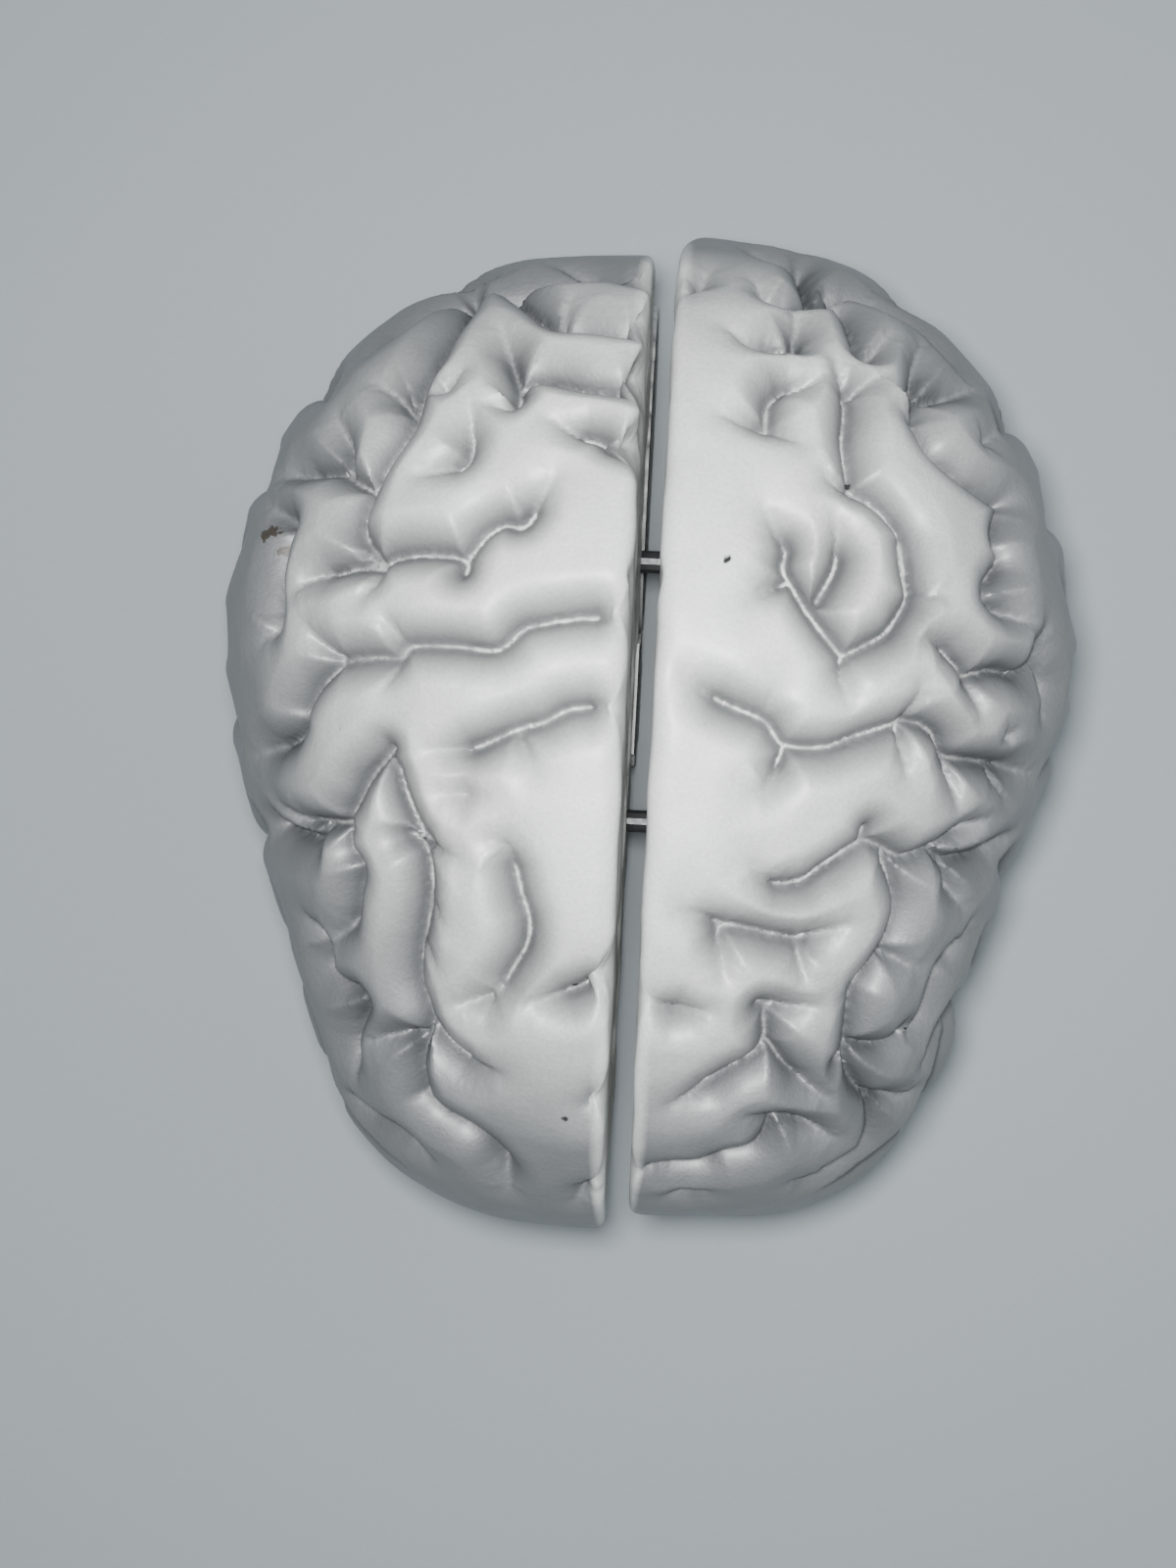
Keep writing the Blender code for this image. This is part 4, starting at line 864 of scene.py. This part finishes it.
def carved(piece, cutters):
    """Cuts the seats, holes and standing faces into a casting, and removes the cutters."""
    for cutter in cutters:
        tool = piece.modifiers.new("Cut", "BOOLEAN")
        tool.operation = "DIFFERENCE"
        tool.solver = "MANIFOLD"
        tool.object = cutter
    mesh = settled(piece)
    mesh.calc_loop_triangles()
    if len(mesh.loop_triangles) > TRIANGLE_LIMIT:
        thin = piece.modifiers.new("Thin", "DECIMATE")
        thin.ratio = TRIANGLE_LIMIT / len(mesh.loop_triangles)
        mesh = settled(piece)
    mesh.shade_smooth()
    mesh.set_sharp_from_angle(angle=math.radians(EDGE_ANGLE))
    for cutter in cutters:
        bpy.data.objects.remove(cutter, do_unlink=True)
    return piece


def fine_hemisphere(word, side):
    """One folded hemisphere with its painted shade and highlight, paint and chips."""
    outline = RIGHT_OUTLINE if side < 0 else LEFT_OUTLINE
    rear_corner = RIGHT_REAR_CORNER_RADIUS if side < 0 else LEFT_REAR_CORNER_RADIUS
    shells = (tube(hemisphere_sections(outline, rear_corner)), tube(temporal_sections()))
    coarse = 1
    points, faces = fused_skin(shells, coarse * SKIN_GRAIN)
    low, high = points.min(axis=0), points.max(axis=0)
    points = relax(points, faces, RELAX_ROUNDS // coarse ** 2)
    points = low + (points - points.min(axis=0)) * (high - low) / np.ptp(points, axis=0)
    skin = BVHTree.FromPolygons([Vector(point) for point in points], faces)
    routes = groove_routes(skin, side)
    normals = skin_normals(points, faces)
    if np.einsum("ij,ij->i", normals, points - points.mean(axis=0)).mean() < 0:
        normals = -normals
    hollow, paint = medial_hollows(points)
    points, sink, fold = fine_grooves(points, groove_lines(routes))
    dents = DENT_DEPTH * dent_values(points, DENT_SIZE, side) * (1 - fold)
    # the third layer carries the painted shade on the sides of the dome
    layers = {"fold": fold, "paint": paint, "painted_shade": dome_painted_shade(points)}
    eye = Vector((side * EYE_ACROSS, 0.0, EYE_HEIGHT))
    for layer, spots in SPOTS[side].items():
        layers[layer] = spot_values(points, [(cast(skin, eye, plan_mark_place(mark, side)), radius)
                                             for mark, radius in spots])
    points = points - normals * (sink + hollow + dents)[:, None]
    points[:, 0] = np.maximum(points[:, 0], FACE_X)
    piece = cast_object(word + "_hemisphere_cast", to_side(points, side), faces, layers)
    return carved(piece, [cerebellum_cutter(side), brainstem_cutter(side), table_cutter(),
                          peg_hole(*peg_ends(side)), peg_hole(*stem_peg_ends(side)),
                          locating_hole(LOCATING_PIN_FRONT_Y), locating_hole(LOCATING_PIN_REAR_Y)])


def fine_grooves(points, grooves):
    """Points drawn on to the groove lines, how far each sinks, and its fold from 0 to 1."""
    drawn = points.copy()
    sink = np.zeros(len(points))
    fold = np.zeros(len(points))
    for line, depth, reach in grooves:
        near, distance, nearest = groove_distances(points, line, reach)
        snapped = distance < SULCUS_SNAP * SKIN_GRAIN
        drawn[near[snapped]] = line[nearest[snapped]]
        distance[snapped] = 0.0
        deep = depth[nearest]
        sink[near] = np.maximum(sink[near], groove_depth(distance, deep, reach))
        fold[near] = np.maximum(fold[near], (1 - distance / reach) * deep / SULCUS_DEPTH)
    return drawn, sink, np.clip(fold, 0, 1)


def medial_hollows(points):
    """Depth of the medial face at the ventricle and round the thalamus, and its paint."""
    along = points[:, 1] / HALF_LENGTH
    level = points[:, 2] / BRAIN_HEIGHT
    on_face = np.clip(1.5 - (points[:, 0] - FACE_X) / (2 * SKIN_GRAIN), 0.0, 1.0)

    def oval(centre, radii):
        return np.hypot((along - centre[0]) / radii[0], (level - centre[1]) / radii[1])

    ventricle = np.clip(VENTRICLE_WALL * (1.0 - oval(VENTRICLE_CENTRE, VENTRICLE_RADII)), 0.0, 1.0)
    rim = oval(THALAMUS_CENTRE, THALAMUS_RADII)
    ring = np.exp(-((rim - 1.0) / THALAMUS_RING_WIDTH) ** 2)
    depth = VENTRICLE_DEPTH * np.maximum(ventricle, THALAMUS_RING_SHARE * ring)
    painted = np.maximum(ventricle, np.clip(THALAMUS_RING_PAINT * ring, 0, 1))
    return on_face * depth, on_face * painted


def peg_ends(side):
    """Ends of the peg that holds a half cerebellum."""
    angle = math.asin(CEREBELLUM_PEG_ACROSS / CEREBELLUM_WIDTH)
    seat = cerebellum_envelope(angle, 0.0, 0.0)[1]
    across = side * CEREBELLUM_PEG_ACROSS
    return ((across, seat - PEG_IN_HEMISPHERE, CEREBELLUM_PEG_HEIGHT),
            (across, seat + PEG_IN_PIECE, CEREBELLUM_PEG_HEIGHT))


def stem_peg_ends(side):
    """Ends of the peg that holds a half brain stem."""
    across = side * BRAINSTEM_PEG_ACROSS
    return ((across, BRAINSTEM_CENTRE_Y, BRAINSTEM_SEAT + PEG_IN_HEMISPHERE),
            (across, BRAINSTEM_CENTRE_Y, BRAINSTEM_SEAT - PEG_IN_PIECE))


def locating_hole(along):
    """The hole for a locating pin, which sits in it at the right and slides at the left."""
    start = (-FACE_X - LOCATING_PIN_IN_RIGHT - CLEARANCE, along, LOCATING_PIN_HEIGHT)
    end = (FACE_X + LOCATING_PIN_IN_LEFT + HALVES_GAP, along, LOCATING_PIN_HEIGHT)
    return round_cutter(start, end, LOCATING_PIN_RADIUS + CLEARANCE)


def dome_painted_shade(points):
    """Painted shade on the dome: how far the dome of the hemisphere, taken as an ellipsoid, turns from the
    up direction, faded near the medial edge and at the foot.
    """
    middle = (0.0, 0.0, SHADE_DOME_LEVEL)
    radii = np.array((HALF_WIDTH, HALF_LENGTH, BRAIN_HEIGHT - SHADE_DOME_LEVEL))
    outward = (points - middle) / radii ** 2
    outward = outward / np.linalg.norm(outward, axis=1)[:, None]
    turned = 1 - np.abs(outward @ np.array(Vector(SHADE_UP).normalized()))
    return (turned * np.clip((points[:, 0] - FACE_X) / SHADE_EDGE, 0, 1)
            * np.clip((points[:, 2] - SHADE_FOOT) / SHADE_FADE, 0, 1))


def face_painted_shade(points):
    """Painted shade on a medial face and its edge, standing in for the shade of the gap between the halves.
    """
    away = np.clip((np.asarray(points)[:, 0] - FACE_X) / FACE_SHADE_REACH, 0, 1)
    return FACE_SHADE * (1 - away)


def fine_cerebellum(word, side):
    """Half a cerebellum with fine, slightly wandering folia."""
    turns = FOLIUM_STEPS * CEREBELLUM_FOLIA
    start = math.asin(FACE_X / CEREBELLUM_WIDTH)
    rings = []
    folds = [0.0] * turns
    for step in range(CEREBELLUM_RINGS + 1):
        swing = start + (CEREBELLUM_TIP - start) * step / CEREBELLUM_RINGS
        narrow = math.cos(swing) ** 0.5
        ring = []
        for turn_step in range(turns):
            turn = math.tau * turn_step / turns
            spot = Vector((FOLIUM_WAVES[0] * swing, FOLIUM_WAVES[1] * turn, side))
            wander = FOLIUM_WANDER * noise.noise(spot)
            phase = (turn / math.tau * CEREBELLUM_FOLIA * FOLIUM_SPREAD + wander) % 1.0
            groove = 1 - math.sqrt(1 - (2 * phase - 1) ** 2)
            main, second = (math.exp(-((turn - place) / width) ** 2)
                            for place, width in (MAIN_FISSURE, SECOND_FISSURE))
            behind = min(1.0, max(0.0, FOLIUM_START - math.cos(turn)))
            depth = max(FOLIUM_DEPTH * groove,
                        HORIZONTAL_FISSURE_DEPTH * max(main, SECOND_FISSURE_SHARE * second))
            x, y, z = cerebellum_envelope(swing, turn, -depth * behind * narrow)
            ring.append((x if step else FACE_X, y, max(z, 0.0)))
            folds.append(min(1.0, behind * max(groove, main, second)) * narrow)
        rings.append(ring)
    middle = np.mean(rings[0], axis=0)
    rings.insert(0, [tuple(middle + CUT_FACE_SHARE * (np.array(point) - middle))
                     for point in rings[0]])
    points, faces = tube(rings)
    # the medial face gets painted shade for the shade of the gap
    piece = cast_object(word + "_cerebellum_cast", to_side(points, side), faces,
                        {"fold": folds, "painted_shade": face_painted_shade(points)})
    return carved(piece, [peg_hole(*peg_ends(side))])


def fine_brainstem(word, side):
    """Half a brain stem: medulla, ribbed pons and midbrain."""
    levels = 90
    tall = BRAINSTEM_SEAT - BRAINSTEM_FOOT
    curve = smooth_curve(STEM_SECTIONS)
    rings = []
    folds = []
    for step in range(levels + 1):
        share = step / levels
        pons = math.exp(-((share - PONS_MIDDLE) / PONS_SPREAD) ** 4)
        rib = PONS_RIB_DEPTH * pons * (0.5 + 0.5 * math.cos(PONS_RIB_TURNS * share))
        size = float(np.interp(share, curve[:, 0], curve[:, 1])) - rib
        ring = brainstem_outline(size, STEM_FLATNESS * min(size, 0.95 * PONS_RADIUS),
                                 BRAINSTEM_FOOT + share * tall)
        rings.append(ring)
        folds += [0.5 * rib / PONS_RIB_DEPTH * pons] * len(ring)
    points, faces = tube(rings)
    # the medial face gets painted shade for the shade of the gap
    piece = cast_object(word + "_brainstem_cast", to_side(points, side), faces,
                        {"fold": folds, "painted_shade": face_painted_shade(points)})
    return carved(piece, [peg_hole(*stem_peg_ends(side))])


class Nodes:
    """A new material, with short ways to add its shader nodes and to link them."""

    def __init__(self, name):
        self.material = bpy.data.materials.new(name)
        self.material.use_nodes = True
        self.tree = self.material.node_tree
        self.shader = self.tree.nodes["Principled BSDF"]
        self.place = self.add("ShaderNodeTexCoord", {}).outputs["Object"]

    def fill(self, node, values):
        """Sets the inputs of a node, and links those whose value is a socket."""
        for key, value in values.items():
            if isinstance(value, bpy.types.NodeSocket):
                self.tree.links.new(value, node.inputs[key])
            else:
                node.inputs[key].default_value = value
        return node

    def add(self, kind, values):
        """A node of a kind, with its inputs filled."""
        return self.fill(self.tree.nodes.new(kind), values)

    def cloud(self, scale, detail, rough):
        """Noise round 0.5."""
        values = {"Vector": self.place, "Scale": scale, "Detail": detail, "Roughness": rough}
        return self.add("ShaderNodeTexNoise", values).outputs["Fac"]

    def layer(self, name):
        """The layer of this name that a piece keeps on its points."""
        reader = self.add("ShaderNodeAttribute", {})
        reader.attribute_name = name
        return reader.outputs["Fac"]

    def combine(self, operation, first, second):
        """A math node over two numbers or sockets."""
        node = self.add("ShaderNodeMath", {0: first, 1: second})
        node.operation = operation
        return node.outputs[0]

    def ranged(self, source, low, high, out_low=0.0, out_high=1.0):
        """source mapped from low..high to out_low..out_high, and held there."""
        values = {"Value": source, "From Min": low, "From Max": high,
                  "To Min": out_low, "To Max": out_high}
        return self.add("ShaderNodeMapRange", values).outputs["Result"]

    def mixed(self, share, low, high):
        """A colour mix. low and high are colours or sockets."""
        ends = [value if isinstance(value, bpy.types.NodeSocket) else (*value, 1.0)
                for value in (low, high)]
        node = self.add("ShaderNodeMix", {})
        node.data_type = "RGBA"
        return self.fill(node, {0: share, 6: ends[0], 7: ends[1]}).outputs[2]

    def bump(self, height, strength, distance, under=None):
        """A normal from a height, over another normal if there is one."""
        values = {"Height": height, "Strength": strength, "Distance": distance}
        if under:
            values["Normal"] = under
        return self.add("ShaderNodeBump", values).outputs["Normal"]


def cast_material():
    """Hand-finished white casting: mottled crowns, painted shade in the folds and on the sides of the dome,
    a painted highlight on the groove floors, blue ventricle, chips.
    """
    nodes = Nodes("cast_white")
    ranged, mixed = nodes.ranged, nodes.mixed
    fold, speck = nodes.layer("fold"), nodes.layer("speck")
    wide, middle, fine = (nodes.cloud(*noise_values)
                          for noise_values in (WIDE_NOISE, MIDDLE_NOISE, FINE_NOISE))
    colour = mixed(ranged(wide, *TINT_RANGE), CROWN_COLOUR, TINT_COLOUR)
    # painted shade on the sides of the dome and on the medial faces in the gap
    colour = mixed(ranged(nodes.layer("painted_shade"), *PAINTED_SHADE_RANGE), colour, PAINTED_SHADE_COLOUR)
    # random fine mottle towards the same dark colour
    colour = mixed(ranged(fine, *MOTTLE_RANGE), colour, CREASE_SHADE_AND_MOTTLE_COLOUR)
    # painted shade: darker towards the creases, with a darker painted line near them
    crease_shade, crease_shade_line, floor = (
        nodes.combine("MULTIPLY", ranged(fold, *over_depth), ranged(cloud, *over_noise))
        for (over_depth, over_noise), cloud in ((CREASE_SHADE, wide), (CREASE_SHADE_LINE, middle), (FLOOR_HIGHLIGHT, middle)))
    shaded = mixed(crease_shade_line, mixed(crease_shade, colour, CREASE_SHADE_AND_MOTTLE_COLOUR), CREASE_SHADE_LINE_COLOUR)
    # painted highlight: a bright thin line along the groove floors
    colour = mixed(floor, shaded, colour)
    colour = mixed(ranged(nodes.layer("paint"), *PAINT_RANGE), colour, PAINT_COLOUR)
    chip = nodes.combine("ADD", nodes.layer("chip"), ranged(nodes.cloud(*CHIP_NOISE), *CHIP_BREAK))
    colour = mixed(ranged(chip, *CHIP_RANGE), colour, CHIP_COLOUR)
    colour = mixed(ranged(speck, *SPECK_RANGE), colour, SPECK_COLOUR)
    rough = nodes.combine("MAXIMUM", ranged(middle, *CAST_ROUGHNESS), ranged(speck, *DULL_RANGE))
    soft = nodes.bump(middle, *SOFT_BUMP)
    nodes.fill(nodes.shader, {
        "Base Color": colour, "Roughness": rough, "Specular IOR Level": CAST_SPECULAR,
        "Coat Weight": ranged(speck, *DULL_RANGE, CAST_COAT, 0.0),
        "Coat Roughness": CAST_COAT_ROUGHNESS, "Normal": nodes.bump(fine, *FINE_BUMP, soft)})
    return nodes.material


def pin_material():
    """Turned steel with fine dull patches."""
    nodes = Nodes("pin_steel")
    grain = nodes.cloud(*PIN_NOISE)
    nodes.fill(nodes.shader, {
        "Metallic": 1.0, "Base Color": nodes.mixed(grain, PIN_COLOUR, PIN_DULL_COLOUR),
        "Roughness": nodes.ranged(grain, *PIN_ROUGHNESS)})
    return nodes.material


def table_top():
    """The plain pale table, which isn't part of the model."""
    corners = [(x * TABLE_HALF, y * TABLE_HALF, 0.0)
               for x, y in ((-1, -1), (1, -1), (1, 1), (-1, 1))]
    table = add_object("table_top", corners, [(0, 1, 2, 3)])
    nodes = Nodes("table_blue_grey")
    speckled = nodes.mixed(nodes.cloud(*TABLE_NOISE), TABLE_COLOUR, TABLE_SPECKLE_COLOUR)
    nodes.fill(nodes.shader, {"Base Color": speckled, "Roughness": TABLE_ROUGHNESS})
    table.data.materials.append(nodes.material)


def add_light(name, place, target, size, power, colour=(1.0, 1.0, 1.0)):
    """A round soft light."""
    light = bpy.data.lights.new(name, "AREA")
    light.shape = "DISK"
    light.size = size
    light.energy = power
    light.color = colour
    lamp = linked(name, light)
    lamp.location = place
    lamp.rotation_euler = (Vector(target) - Vector(place)).to_track_quat("-Z", "Y").to_euler()


def light_up():
    """A soft key beside the eye point, a wide light at one side and a fill."""
    world = bpy.data.worlds.new("studio")
    world.use_nodes = True
    backdrop = world.node_tree.nodes["Background"]
    backdrop.inputs["Color"].default_value = (*FILL_COLOUR, 1.0)
    backdrop.inputs["Strength"].default_value = FILL_STRENGTH
    bpy.context.scene.world = world
    add_light("key", KEY_PLACE, KEY_TARGET, KEY_SIZE, KEY_POWER)
    add_light("room", ROOM_PLACE, (0.0, 0.0, 0.0), ROOM_SIZE, ROOM_POWER, ROOM_COLOUR)


def add_camera():
    """Looks down from the eye point, with the model where the photograph has it."""
    unit = BRAIN_LENGTH / PLAN_LENGTH_MARKS
    eye = Vector((EYE_ACROSS, 0.0, EYE_HEIGHT))
    middle = plan_mark_place((PICTURE_WIDTH / 2, PICTURE_HEIGHT / 2), 1)
    back = (eye - middle).normalized()
    up = Vector((-math.sin(PLAN_LEAN), math.cos(PLAN_LEAN), 0.0))
    right = up.cross(back).normalized()
    up = back.cross(right)
    camera = bpy.data.cameras.new("camera")
    camera.sensor_fit = "VERTICAL"
    camera.sensor_height = SENSOR_HEIGHT
    camera.lens = SENSOR_HEIGHT * (eye - middle).length / (PICTURE_HEIGHT * unit)
    camera.clip_start = CLIP_START
    stand = linked("camera", camera)
    turned = Matrix((right, up, back)).transposed().to_4x4()
    stand.matrix_world = Matrix.Translation(eye) @ turned
    bpy.context.scene.camera = stand


def dress_half(word, side, material):
    """Makes the three castings of one half and puts them in place of their solids."""
    hemisphere = fine_hemisphere(word, side)
    cerebellum = fine_cerebellum(word, side)
    brainstem = fine_brainstem(word, side)
    for piece, body, node in ((hemisphere, word + "_half", word + "_hemisphere"),
                              (cerebellum, word + "_cerebellum", word + "_cerebellum"),
                              (brainstem, word + "_brainstem", word + "_brainstem")):
        piece.data.materials.clear()
        piece.data.materials.append(material)
        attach(piece, body)
        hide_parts(node)


def dress_pins():
    """Gives the pins and pegs their steel."""
    material = pin_material()
    for name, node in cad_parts.items():
        if name.startswith("locating_pin") or name.endswith("_peg"):
            node.data.materials.clear()
            node.data.materials.append(material)


def main():
    """Dresses the model, then adds table, lights and camera."""
    casting = cast_material()
    dress_half("right", -1, casting)
    dress_half("left", 1, casting)
    dress_pins()
    table_top()
    light_up()
    add_camera()


main()
